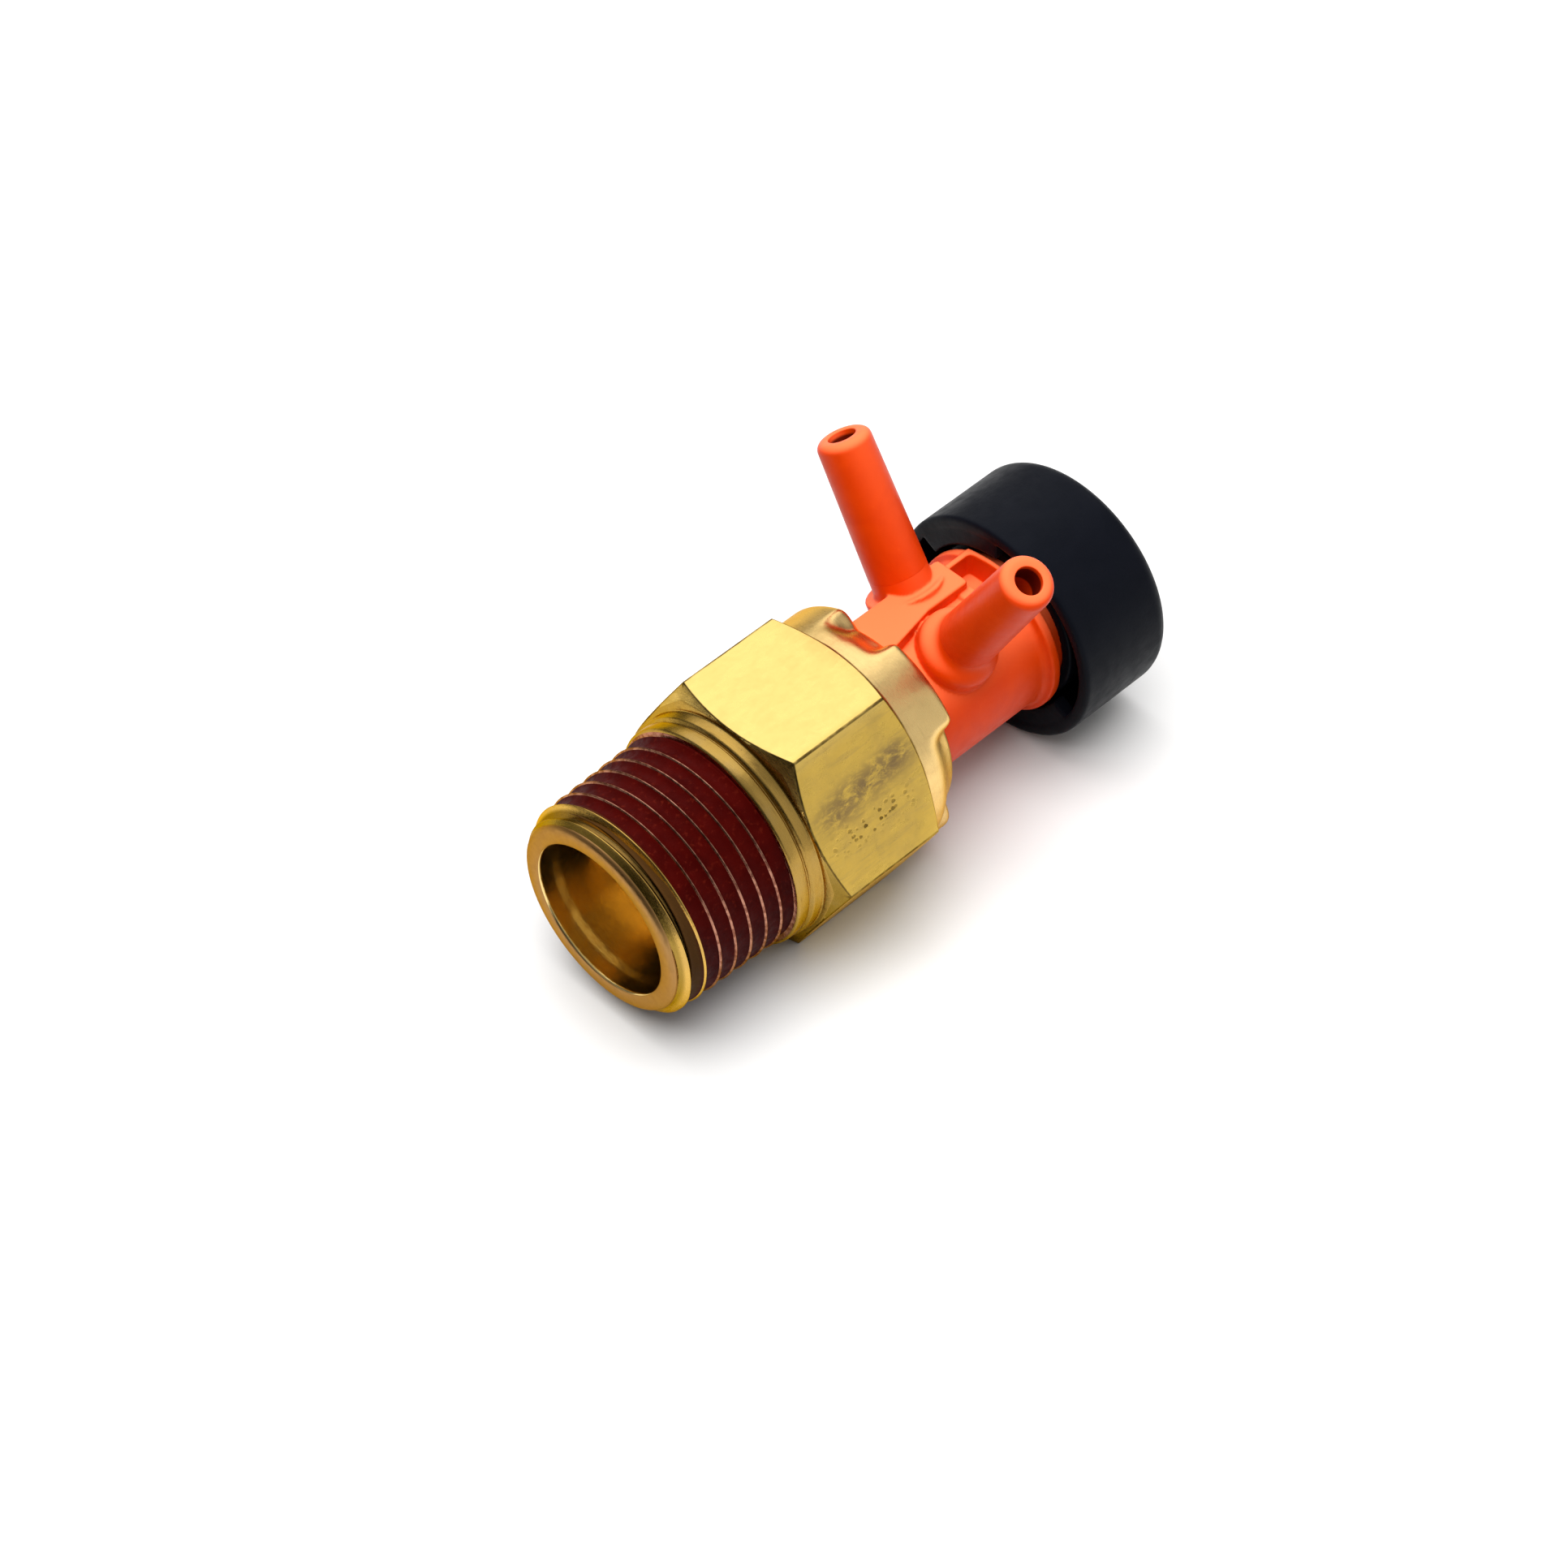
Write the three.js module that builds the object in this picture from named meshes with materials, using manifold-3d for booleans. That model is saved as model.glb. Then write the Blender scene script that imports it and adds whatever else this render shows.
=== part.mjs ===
// Thermal vacuum switch with two hose nipples and a filtered vent cap.
// Millimetres, +Z up. The main axis runs along +X, from the threaded end to the cap, and the part
// lies on one flat of its hexagon. The origin is the centre of that flat.
// "s" is the distance along the main axis from the threaded end face, "r" the distance from the axis.

import * as THREE from 'three';
import { mergeVertices } from 'three/addons/utils/BufferGeometryUtils.js';
import Module from 'manifold-3d';

const wasm = await Module();
wasm.setup();

// ---------------------------------------------------------------- driving dimensions

const SEG = 36;                      // facets round an outer turned piece
const INNER_SEG = 24;                // facets round a small or hidden one
const COLLAR_SEG = 48;
const FIT = 0.05;                    // gap between pieces that touch in the real assembly

const HEX_AF = 19.05;                // 3/4 in across flats
const HEX_START = 12.85;
const HEX_END = 23.3;
const HEX_CORNER_R = HEX_AF / Math.sqrt(3);
const CHAMFER = Math.tan(THREE.MathUtils.degToRad(30));

const PITCH = 25.4 / 18;             // 3/8-18 pipe thread
const THREAD_START = 0.45;
const THREAD_SHIFT = 0.19;            // moves the crests along the axis
const THREAD_END = 10.6;
const THREAD_MEAN_R = 7.86;          // mean of crest and root at the small end
const THREAD_HALF_DEPTH = 0.44;
const THREAD_TAPER = 1 / 32;         // growth of the radius along the axis
const THREAD_ROWS = 24;              // profile rows along the thread
const ROW_STEP = (THREAD_END - THREAD_START) / THREAD_ROWS;

const SEALANT_START = THREAD_START + 3 * ROW_STEP;
const SEALANT_GAP = 0.1;
const SEALANT_SKIN = 0.14;           // film over the crests
const SEALANT_FILL = 0.25;           // extra thickness in the roots

const FACE_R = 7.6;                  // outer edge of the end face
const MOUTH_R = 6.15;
const MOUTH_DEPTH = 1.5;
const BORE_R = 6.0;                  // passage to the sensing element
const CAVITY_START = 13.4;
const CAVITY_R = 7.5;
const COLLAR_R = 9.3;
const COLLAR_END = 27.4;
const COLLAR_ROLL = 1.5;             // how far the collar's edge is rolled in
const COLLAR_LOBES = [34, 146, 214, 318];  // where it stands proud, in degrees from the top
const LOBE_FLAT = 20;                // half the width of a lobe's flat part, in degrees
const LOBE_FOOT = 29;                // and of its foot
const LIP_START = 26.4;
const LIP_R = 6.3;

const CUP_BOTTOM = 7.4;
const CUP_R = 4.4;
const CUP_WALL = 0.6;
const FLANGE_R = 7.35;
const FLANGE_T = 0.8;
const GASKET_T = 0.5;
const DIAPHRAGM_T = 0.6;
const GUIDE_STEM_R = 3.0;
const GUIDE_STEM_L = 3.6;
const PIN_R = 1.5;

const BODY_START = 17.2;
const BODY_INSERT_R = 7.35;
const BODY_INSERT_END = 26.3;
const BODY_R = 6.0;
const HUB_START = 38.6;
const HUB_R = 6.65;
const HUB_END = 39.5;
const SPIGOT_R = 5.6;
const SPIGOT_END = 42.4;
const VALVE_BORE_R = 2.6;
const SEAT_BORE_R = 3.2;
const SEAT_BORE_START = 40.5;

const RAIL_TOP = 7.0;                // height of the locating rail's flat above the axis
const RAIL_Y = [-1.1, 3.0];
const RAIL_S = [27.6, 36.5];
const KEEPER_TOP = 6.3;              // block between the rail and the cap, with a pocket in its top
const KEEPER_Y = [-1.6, 2.75];
const POCKET_S = [36.8, 39.0];
const POCKET_Y = [-1.1, 2.25];
const POCKET_FLOOR = 4.3;

const NIPPLE_ANGLE = 30;             // tilt of each nipple from the vertical, in degrees
const NIPPLE_S = { rear: 33.6, front: 32.4 };
const NIPPLE_TIP = 19.4;             // distance of the tip from the main axis
const NIPPLE_R = 2.05;               // for 5/32 in vacuum hose
const NIPPLE_ROOT_R = 2.25;
const NIPPLE_CHAMFER = 0.7;
const NIPPLE_BORE_R = 1.0;
const PORT_R = 0.45;                 // drilled from the foot of each nipple's bore into the valve bore
const PORT_S = { rear: 34.1, front: 31.85 };
const PORT_DEPTH = 6.0;
const BOSS_R = 3.2;
const BOSS_TOP = { rear: 6.9, front: 7.4 };

const ORING_R = 0.34;
const SPOOL_START = 22.3;
const SPOOL_LAND_R = 2.52;
const SPOOL_WAIST_R = 1.5;
const SPOOL_RING_S = [28.0, 32.8];
const SPOOL_WAIST_S = [28.6, 32.2];
const SPOOL_TAIL_S = 33.35;          // behind this the spool is slack in its bore, so the rear port vents
const SPOOL_TAIL_R = 2.2;
const SPOOL_END = 36.2;

const SPRING_R = 1.85;
const SPRING_WIRE = 0.17;
const SPRING_TURNS = 4.5;

const CAP_START = 39.4;
const CAP_END = 48.3;
const CAP_R = 9.35;
const CAP_WALL = 1.0;
const CAP_FLOOR = 1.2;
const CAP_ROUND = 1.3;
const CAP_LAND_R = 6.95;
const CAP_LAND_T = 1.1;
const SOCKET_R = 5.65;
const SOCKET_WALL = 0.9;
const SOCKET_START = 40.6;
const WINDOW = { s: 44.3, length: 2.2, width: 4 };

// ---------------------------------------------------------------- geometry helpers

const point = (r, s) => new THREE.Vector2(r, s);

// A turned solid round the main axis: the profile is a list of [r, s] points.
function turned(profile, segments = SEG) {
  const points = profile.map(([r, s]) => point(r, s));
  const geometry = new THREE.LatheGeometry(points, segments);
  geometry.rotateZ(-Math.PI / 2);
  return geometry;
}

// A turned ring whose profile closes on itself.
function turnedRing(profile, segments = SEG) {
  return turned([...profile, profile[0]], segments);
}

// A plain ring or tube of rectangular section.
const sleeve = (inner, outer, from, to) => turnedRing([
  [inner, from],
  [outer, from],
  [outer, to],
  [inner, to],
], INNER_SEG);

const disc = (r, from, to) => turned([[0, from], [r, from], [r, to], [0, to]], INNER_SEG);

function torus(ringR, tubeR, s) {
  const geometry = new THREE.TorusGeometry(ringR, tubeR, 6, INNER_SEG);
  geometry.rotateY(Math.PI / 2);
  geometry.translate(s, 0, 0);
  return geometry;
}

function toManifold(geometry) {
  const bare = geometry.clone();
  bare.deleteAttribute('normal');
  bare.deleteAttribute('uv');
  const merged = mergeVertices(bare, 1e-4);
  const mesh = new wasm.Mesh({
    numProp: 3,
    vertProperties: new Float32Array(merged.attributes.position.array),
    triVerts: new Uint32Array(merged.index.array),
  });
  return new wasm.Manifold(mesh);
}

function toGeometry(solid) {
  const mesh = solid.getMesh();
  const geometry = new THREE.BufferGeometry();
  geometry.setAttribute('position', new THREE.BufferAttribute(new Float32Array(mesh.vertProperties), 3));
  geometry.setIndex(new THREE.BufferAttribute(new Uint32Array(mesh.triVerts), 1));
  geometry.computeVertexNormals();
  return geometry;
}

// Turns a piece made along +Y so that it stands radially, leaning by the angle from +Z towards +Y.
function stand(geometry, degrees, s) {
  geometry.rotateX(Math.PI / 2 - THREE.MathUtils.degToRad(degrees));
  geometry.translate(s, 0, 0);
  return geometry;
}

function radialLathe(profile, degrees, s, segments = 20) {
  const points = profile.map(([r, height]) => point(r, height));
  return stand(new THREE.LatheGeometry(points, segments), degrees, s);
}

const radialRod = (r, from, to, degrees, s) => radialLathe(
  [[0, from], [r, from], [r, to], [0, to]],
  degrees,
  s,
);

// ---------------------------------------------------------------- taper thread

const smoothstep = THREE.MathUtils.smoothstep;
const meanRadius = (s) => THREAD_MEAN_R + THREAD_TAPER * s;

// Height of the helical thread at an angle round the axis and a distance along it.
function threadWave(s, angle) {
  const fadeIn = smoothstep(s, THREAD_START, THREAD_START + 0.5);
  const fadeOut = 1 - smoothstep(s, THREAD_END - 0.8, THREAD_END + 0.2);
  const phase = 2 * Math.PI * (s - THREAD_SHIFT) / PITCH - angle;
  return THREAD_HALF_DEPTH * fadeIn * fadeOut * Math.cos(phase);
}

// The profile rows along the thread, all at the mean radius; reshape() then raises and lowers them.
function threadRows(from, offset) {
  const count = Math.round((THREAD_END - from) / ROW_STEP);
  return Array.from({ length: count + 1 }, (_, i) => {
    const s = from + i * ROW_STEP;
    return [meanRadius(s) + offset, s];
  });
}

// Moves the points of a turned piece in or out by shape(s, angle, r).
function reshape(geometry, from, to, minR, shape) {
  const position = geometry.attributes.position;
  for (let i = 0; i < position.count; i += 1) {
    const s = position.getX(i);
    const y = position.getY(i);
    const z = position.getZ(i);
    const r = Math.hypot(y, z);
    if (s < from - 1e-6 || s > to + 1e-6 || r < minR) continue;
    const scale = (r + shape(s, Math.atan2(z, y), r)) / r;
    position.setY(i, y * scale);
    position.setZ(i, z * scale);
  }
  return geometry;
}

// ---------------------------------------------------------------- brass housing

function hexagon() {
  const shape = new THREE.Shape();
  for (let i = 0; i < 6; i += 1) {
    const angle = i * Math.PI / 3;
    const x = HEX_CORNER_R * Math.cos(angle);
    const y = HEX_CORNER_R * Math.sin(angle);
    if (i === 0) shape.moveTo(x, y);
    else shape.lineTo(x, y);
  }
  shape.closePath();
  const length = HEX_END - HEX_START + 1;
  const geometry = new THREE.ExtrudeGeometry(shape, { depth: length, bevelEnabled: false });
  geometry.rotateY(Math.PI / 2);
  geometry.rotateX(Math.PI / 2);
  geometry.translate(HEX_START - 0.5, 0, 0);
  return toManifold(geometry);
}

// Both ends of the hexagon are chamfered by cones that start at the radius of its flats.
function hexChamfers() {
  const flat = HEX_AF / 2 - 0.1;
  const far = flat + 3;
  const run = 3 * CHAMFER;
  return toManifold(turned([
    [0, HEX_START],
    [flat, HEX_START],
    [far, HEX_START + run],
    [far, HEX_END - run],
    [flat, HEX_END],
    [0, HEX_END],
  ], COLLAR_SEG));
}

function shank() {
  const neck = 8.95;
  const groove = 8.65;
  const rows = threadRows(THREAD_START, 0);
  const geometry = turned([
    [0, 0],
    [FACE_R, 0],
    [FACE_R + 0.25, 0.35],
    ...rows,
    [neck, THREAD_END + 0.35],
    [neck, 11.6],
    [groove, 11.75],
    [groove, 11.95],
    [neck + 0.15, 12.15],
    [neck + 0.15, HEX_START + 0.6],
    [0, HEX_START + 0.6],
  ]);
  return toManifold(reshape(geometry, THREAD_START, THREAD_END, FACE_R, threadWave));
}

// The collar is rolled in over the valve body all round, except at four lobes.
function collarLobe(angle) {
  const fromTop = THREE.MathUtils.radToDeg(angle) - 90;
  const nearest = Math.min(...COLLAR_LOBES.map((lobe) => {
    const apart = THREE.MathUtils.euclideanModulo(fromTop - lobe, 360);
    return Math.min(apart, 360 - apart);
  }));
  return 1 - smoothstep(nearest, LOBE_FLAT, LOBE_FOOT);
}

function collar() {
  const geometry = turned([
    [0, HEX_END - 0.5],
    [COLLAR_R, HEX_END - 0.5],
    [COLLAR_R, 24.6],
    [COLLAR_R, 25.8],
    [COLLAR_R - 0.15, 26.6],
    [COLLAR_R - 0.75, 27.15],
    [COLLAR_R - 1.6, COLLAR_END],
    [0, COLLAR_END],
  ], COLLAR_SEG);
  const roll = (s, angle, r) => {
    const outer = smoothstep(r, COLLAR_R - 2, COLLAR_R - 0.6);
    return -COLLAR_ROLL * (1 - collarLobe(angle)) * smoothstep(s, 24.4, 27) * outer;
  };
  return toManifold(reshape(geometry, 24, COLLAR_END, LIP_R + 0.5, roll));
}

function housing() {
  const inside = toManifold(turned([
    [0, -1],
    [MOUTH_R + 0.2, -1],
    [MOUTH_R + 0.2, 0],
    [MOUTH_R, 0.2],
    [MOUTH_R, MOUTH_DEPTH],
    [BORE_R, MOUTH_DEPTH + 0.1],
    [BORE_R, CAVITY_START],
    [CAVITY_R, CAVITY_START],
    [CAVITY_R, LIP_START],
    [LIP_R, LIP_START],
    [LIP_R, COLLAR_END + 1],
    [0, COLLAR_END + 1],
  ]));
  const outside = shank().add(hexagon().intersect(hexChamfers())).add(collar());
  return toGeometry(outside.subtract(inside));
}

// Sealant moulded on the thread: a film over the crests that fills most of each root.
function threadSealant() {
  const inner = threadRows(SEALANT_START, SEALANT_GAP);
  const outer = threadRows(SEALANT_START, SEALANT_GAP + SEALANT_SKIN);
  const geometry = turnedRing([...outer, ...inner.reverse()]);
  const middle = SEALANT_GAP + SEALANT_SKIN / 2;
  return reshape(geometry, SEALANT_START, THREAD_END, 1, (s, angle, r) => {
    const wave = threadWave(s, angle);
    const isOuter = r - meanRadius(s) > middle;
    const fill = SEALANT_FILL * (0.5 - 0.5 * wave / THREAD_HALF_DEPTH);
    return isOuter ? wave + fill : wave;
  });
}

// ---------------------------------------------------------------- sensing element

const GASKET_START = CAVITY_START + FIT;
const FLANGE_START = GASKET_START + GASKET_T + FIT;
const DIAPHRAGM_START = FLANGE_START + FLANGE_T + FIT;
const GUIDE_START = DIAPHRAGM_START + DIAPHRAGM_T + FIT;
const GUIDE_FLANGE_END = GUIDE_START + 0.8;
const GUIDE_END = GUIDE_FLANGE_END + GUIDE_STEM_L;
const PLUG_START = GUIDE_START + FIT;
const PLUG_END = PLUG_START + 1.3;
const DISC_START = PLUG_END + FIT;
const DISC_END = DISC_START + 0.4;
const PIN_START = DISC_END + FIT;
const PIN_END = SPOOL_START - FIT;
const WAX_R = CUP_R - CUP_WALL - FIT;

const elementCup = () => turned([
  [0, CUP_BOTTOM],
  [CUP_R - 0.6, CUP_BOTTOM],
  [CUP_R, CUP_BOTTOM + 0.6],
  [CUP_R, FLANGE_START],
  [FLANGE_R, FLANGE_START],
  [FLANGE_R, FLANGE_START + FLANGE_T],
  [CUP_R - CUP_WALL, FLANGE_START + FLANGE_T],
  [CUP_R - CUP_WALL, CUP_BOTTOM + CUP_WALL + 0.3],
  [CUP_R - CUP_WALL - 0.3, CUP_BOTTOM + CUP_WALL],
  [0, CUP_BOTTOM + CUP_WALL],
], INNER_SEG);

const waxPellet = () => turned([
  [0, CUP_BOTTOM + CUP_WALL + FIT],
  [WAX_R - 0.35, CUP_BOTTOM + CUP_WALL + FIT],
  [WAX_R, CUP_BOTTOM + CUP_WALL + 0.4],
  [WAX_R, DIAPHRAGM_START - 0.7],
  [0, DIAPHRAGM_START - 0.7],
], INNER_SEG);

const diaphragm = () => turned([
  [0, DIAPHRAGM_START - 0.6],
  [2.6, DIAPHRAGM_START - 0.6],
  [3.4, DIAPHRAGM_START],
  [6.9, DIAPHRAGM_START],
  [6.9, DIAPHRAGM_START + DIAPHRAGM_T],
  [0, DIAPHRAGM_START + DIAPHRAGM_T],
], INNER_SEG);

const elementGuide = () => turnedRing([
  [PIN_R + FIT, GUIDE_START],
  [FLANGE_R, GUIDE_START],
  [FLANGE_R, GUIDE_FLANGE_END],
  [GUIDE_STEM_R, GUIDE_FLANGE_END],
  [GUIDE_STEM_R, GUIDE_END - 0.3],
  [GUIDE_STEM_R - 0.3, GUIDE_END],
  [PIN_R + FIT, GUIDE_END],
], INNER_SEG);

// A wave washer between the guide and the valve body holds the element on its gasket.
function preloadWasher() {
  const waves = 3;
  const height = 0.2;
  const middle = (GUIDE_FLANGE_END + BODY_START) / 2;
  const geometry = sleeve(5.2, 7.0, middle - 0.15, middle + 0.15);
  const position = geometry.attributes.position;
  for (let i = 0; i < position.count; i += 1) {
    const angle = Math.atan2(position.getZ(i), position.getY(i));
    position.setX(i, position.getX(i) + height * Math.cos(waves * angle));
  }
  return geometry;
}

const pistonPin = () => turned([
  [0, PIN_START],
  [PIN_R, PIN_START],
  [PIN_R, PIN_END - 0.25],
  [PIN_R - 0.25, PIN_END],
  [0, PIN_END],
], INNER_SEG);

// ---------------------------------------------------------------- valve body with its nipples

const nippleProfile = (bossTop) => [
  [0, 3.5],
  [NIPPLE_ROOT_R, 3.5],
  [NIPPLE_ROOT_R, bossTop],
  [NIPPLE_R, NIPPLE_TIP - NIPPLE_CHAMFER],
  [NIPPLE_R - 0.3, NIPPLE_TIP - 0.25],
  [NIPPLE_R - NIPPLE_CHAMFER, NIPPLE_TIP],
  [0, NIPPLE_TIP],
];

const bossProfile = (top) => [
  [0, 3.5],
  [BOSS_R, 3.5],
  [BOSS_R, top - 0.3],
  [BOSS_R - 0.3, top],
  [0, top],
];

const block = (s, y, z) => {
  const box = new THREE.BoxGeometry(s[1] - s[0], y[1] - y[0], z[1] - z[0]);
  box.translate((s[0] + s[1]) / 2, (y[0] + y[1]) / 2, (z[0] + z[1]) / 2);
  return toManifold(box);
};

function valveBody() {
  const ringGroove = { from: 19.9, to: 21.5, r: 6.0 };
  let solid = toManifold(turned([
    [0, BODY_START],
    [BODY_INSERT_R, BODY_START],
    [BODY_INSERT_R, ringGroove.from],
    [ringGroove.r, ringGroove.from],
    [ringGroove.r, ringGroove.to],
    [BODY_INSERT_R, ringGroove.to],
    [BODY_INSERT_R, BODY_INSERT_END],
    [BODY_R, BODY_INSERT_END],
    [BODY_R, HUB_START],
    [HUB_R, HUB_START + 0.4],
    [HUB_R, HUB_END],
    [SPIGOT_R, HUB_END],
    [SPIGOT_R, SPIGOT_END - 0.3],
    [SPIGOT_R - 0.3, SPIGOT_END],
    [0, SPIGOT_END],
  ]));
  solid = solid.add(block(RAIL_S, RAIL_Y, [2, RAIL_TOP]));
  solid = solid.add(block([RAIL_S[1] - 0.1, HUB_END], KEEPER_Y, [2, KEEPER_TOP]));
  solid = solid.subtract(block(POCKET_S, POCKET_Y, [POCKET_FLOOR, RAIL_TOP + 1]));
  const sides = [['rear', NIPPLE_ANGLE], ['front', -NIPPLE_ANGLE]];
  for (const [side, degrees] of sides) {
    const top = BOSS_TOP[side];
    const s = NIPPLE_S[side];
    solid = solid.add(toManifold(radialLathe(bossProfile(top), degrees, s)));
    solid = solid.add(toManifold(radialLathe(nippleProfile(top), degrees, s)));
  }
  solid = solid.subtract(toManifold(turned([
    [0, BODY_START - 1],
    [GUIDE_STEM_R + 0.3, BODY_START - 1],
    [GUIDE_STEM_R + 0.3, GUIDE_END + 0.2],
    [VALVE_BORE_R, GUIDE_END + 0.4],
    [VALVE_BORE_R, SEAT_BORE_START],
    [SEAT_BORE_R, SEAT_BORE_START],
    [SEAT_BORE_R, SPIGOT_END + 1],
    [0, SPIGOT_END + 1],
  ], INNER_SEG)));
  for (const [side, degrees] of sides) {
    const bore = radialRod(NIPPLE_BORE_R, PORT_DEPTH, NIPPLE_TIP + 1, degrees, NIPPLE_S[side]);
    const port = radialRod(PORT_R, 1, PORT_DEPTH + 0.1, degrees, PORT_S[side]);
    solid = solid.subtract(toManifold(bore)).subtract(toManifold(port));
  }
  return toGeometry(solid);
}

// ---------------------------------------------------------------- spool, spring and seat

function spool() {
  const glandR = SPOOL_LAND_R - 2 * ORING_R;
  const halfGland = ORING_R + 0.08;
  const gland = (s) => [
    [SPOOL_LAND_R, s - halfGland],
    [glandR, s - halfGland],
    [glandR, s + halfGland],
    [SPOOL_LAND_R, s + halfGland],
  ];
  return turned([
    [0, SPOOL_START],
    [2.1, SPOOL_START],
    [2.1, 26.8],
    [SPOOL_LAND_R, 27.2],
    ...gland(SPOOL_RING_S[0]),
    [SPOOL_LAND_R, SPOOL_WAIST_S[0]],
    [SPOOL_WAIST_R, SPOOL_WAIST_S[0]],
    [SPOOL_WAIST_R, SPOOL_WAIST_S[1]],
    [SPOOL_LAND_R, SPOOL_WAIST_S[1]],
    ...gland(SPOOL_RING_S[1]),
    [SPOOL_LAND_R, SPOOL_TAIL_S],
    [SPOOL_TAIL_R, SPOOL_TAIL_S],
    [SPOOL_TAIL_R, SPOOL_END - 0.5],
    [SPRING_R - SPRING_WIRE - 0.1, SPOOL_END - 0.5],
    [SPRING_R - SPRING_WIRE - 0.1, SPOOL_END + 0.5],
    [0, SPOOL_END + 0.5],
  ], INNER_SEG);
}

const spoolRing = (s) => torus(SPOOL_LAND_R - ORING_R + 0.03, ORING_R, s);

class Helix extends THREE.Curve {
  constructor(r, from, to, turns) {
    super();
    Object.assign(this, { r, from, to, turns });
  }

  getPoint(t, target = new THREE.Vector3()) {
    const angle = 2 * Math.PI * this.turns * t;
    const s = THREE.MathUtils.lerp(this.from, this.to, t);
    return target.set(s, this.r * Math.cos(angle), this.r * Math.sin(angle));
  }
}

const SPRING_FROM = SPOOL_END - 0.5 + SPRING_WIRE + FIT;
const SPRING_TO = SEAT_BORE_START - SPRING_WIRE - FIT;

function returnSpring() {
  const wire = new THREE.Shape();
  wire.absarc(0, 0, SPRING_WIRE, 0, 2 * Math.PI);
  return new THREE.ExtrudeGeometry(wire, {
    steps: Math.round(SPRING_TURNS * 12),
    curveSegments: 3,
    bevelEnabled: false,
    extrudePath: new Helix(SPRING_R, SPRING_FROM, SPRING_TO, SPRING_TURNS),
  });
}

const springSeat = () => sleeve(0.9, SEAT_BORE_R - FIT, SEAT_BORE_START + FIT, SEAT_BORE_START + 0.9);

// ---------------------------------------------------------------- vent cap

// Two lands close parts of the mouth; the air passes through the wide slots between them. The
// socket takes the spigot of the valve body and has three windows in its wall.
function ventCap() {
  const inner = CAP_R - CAP_WALL;
  const floor = CAP_END - CAP_FLOOR;
  let solid = toManifold(turned([
    [0, floor],
    [inner - 0.6, floor],
    [inner, floor - 0.6],
    [inner, CAP_START],
    [CAP_R - 0.35, CAP_START],
    [CAP_R, CAP_START + 0.35],
    [CAP_R, CAP_END - CAP_ROUND],
    [CAP_R - 0.4 * CAP_ROUND, CAP_END - 0.3 * CAP_ROUND],
    [CAP_R - CAP_ROUND, CAP_END],
    [0, CAP_END],
  ]));
  solid = solid.add(toManifold(sleeve(SOCKET_R, SOCKET_R + SOCKET_WALL, SOCKET_START, floor + 0.2)));
  const landSpan = Math.PI / 3;
  for (const from of [0, Math.PI]) {
    const shape = new THREE.Shape();
    shape.absarc(0, 0, inner + 0.3, from, from + landSpan, false);
    shape.absarc(0, 0, CAP_LAND_R, from + landSpan, from, true);
    shape.closePath();
    const land = new THREE.ExtrudeGeometry(shape, { depth: CAP_LAND_T, bevelEnabled: false, curveSegments: 8 });
    land.rotateY(Math.PI / 2);
    land.rotateX(Math.PI / 2);
    land.translate(CAP_START, 0, 0);
    solid = solid.add(toManifold(land));
  }
  for (const angle of [0, 2 * Math.PI / 3, 4 * Math.PI / 3]) {
    const window = new THREE.BoxGeometry(WINDOW.length, WINDOW.width, 3 * SOCKET_WALL);
    window.translate(WINDOW.s, 0, SOCKET_R + SOCKET_WALL / 2);
    window.rotateX(angle);
    solid = solid.subtract(toManifold(window));
  }
  return toGeometry(solid);
}

const foamFilter = () => disc(SOCKET_R - 0.1, SPIGOT_END + 0.3, CAP_END - CAP_FLOOR - 0.3);

// ---------------------------------------------------------------- materials

const material = (colour, roughness, metalness) => new THREE.MeshStandardMaterial({
  color: colour,
  roughness,
  metalness,
});

const brass = () => material(0xc9a227, 0.35, 1);
const rubber = () => material(0x171717, 0.8, 0);
const steel = () => material(0xb8babd, 0.35, 1);

// ---------------------------------------------------------------- assembly

const assembly = new THREE.Group();
assembly.name = 'thermal_vacuum_switch';
assembly.position.set(-(HEX_START + HEX_END) / 2, 0, HEX_AF / 2);

function add(name, geometry, look) {
  const mesh = new THREE.Mesh(geometry, look);
  mesh.name = name;
  assembly.add(mesh);
}

add('brass_housing', housing(), brass());
add('thread_sealant', threadSealant(), material(0x6b0d0a, 0.55, 0));
add('element_gasket', sleeve(5.3, FLANGE_R, GASKET_START, GASKET_START + GASKET_T), rubber());
add('element_cup', elementCup(), material(0xb8793a, 0.4, 1));
add('wax_pellet', waxPellet(), material(0xd9cfa8, 0.6, 0));
add('element_diaphragm', diaphragm(), rubber());
add('element_guide', elementGuide(), brass());
add('preload_washer', preloadWasher(), steel());
add('force_plug', disc(PIN_R, PLUG_START, PLUG_END), rubber());
add('backup_disc', disc(PIN_R, DISC_START, DISC_END), material(0xf0efe9, 0.5, 0));
add('piston_pin', pistonPin(), steel());
add('valve_body', valveBody(), material(0xff5214, 0.4, 0));
add('body_seal_ring', torus(6.72, 0.66, 20.7), rubber());
add('valve_spool', spool(), material(0xe9e4d4, 0.45, 0));
SPOOL_RING_S.forEach((s, i) => add(`spool_ring_${i + 1}`, spoolRing(s), rubber()));
add('return_spring', returnSpring(), steel());
add('spring_seat', springSeat(), brass());
add('vent_cap', ventCap(), material(0x15161a, 0.45, 0));
add('foam_filter', foamFilter(), material(0x2b2b2b, 0.95, 0));

export default assembly;
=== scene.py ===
"""Looks of the thermal vacuum switch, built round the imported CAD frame.

Shapes are worked out in millimetres as (s, y, z): s runs along the main axis from the threaded
end face, y and z are measured from the axis. to_row() turns them into the frame's metres.
"""
import math

import bmesh
import bpy
import numpy as np
from mathutils import Matrix, Vector


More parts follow.
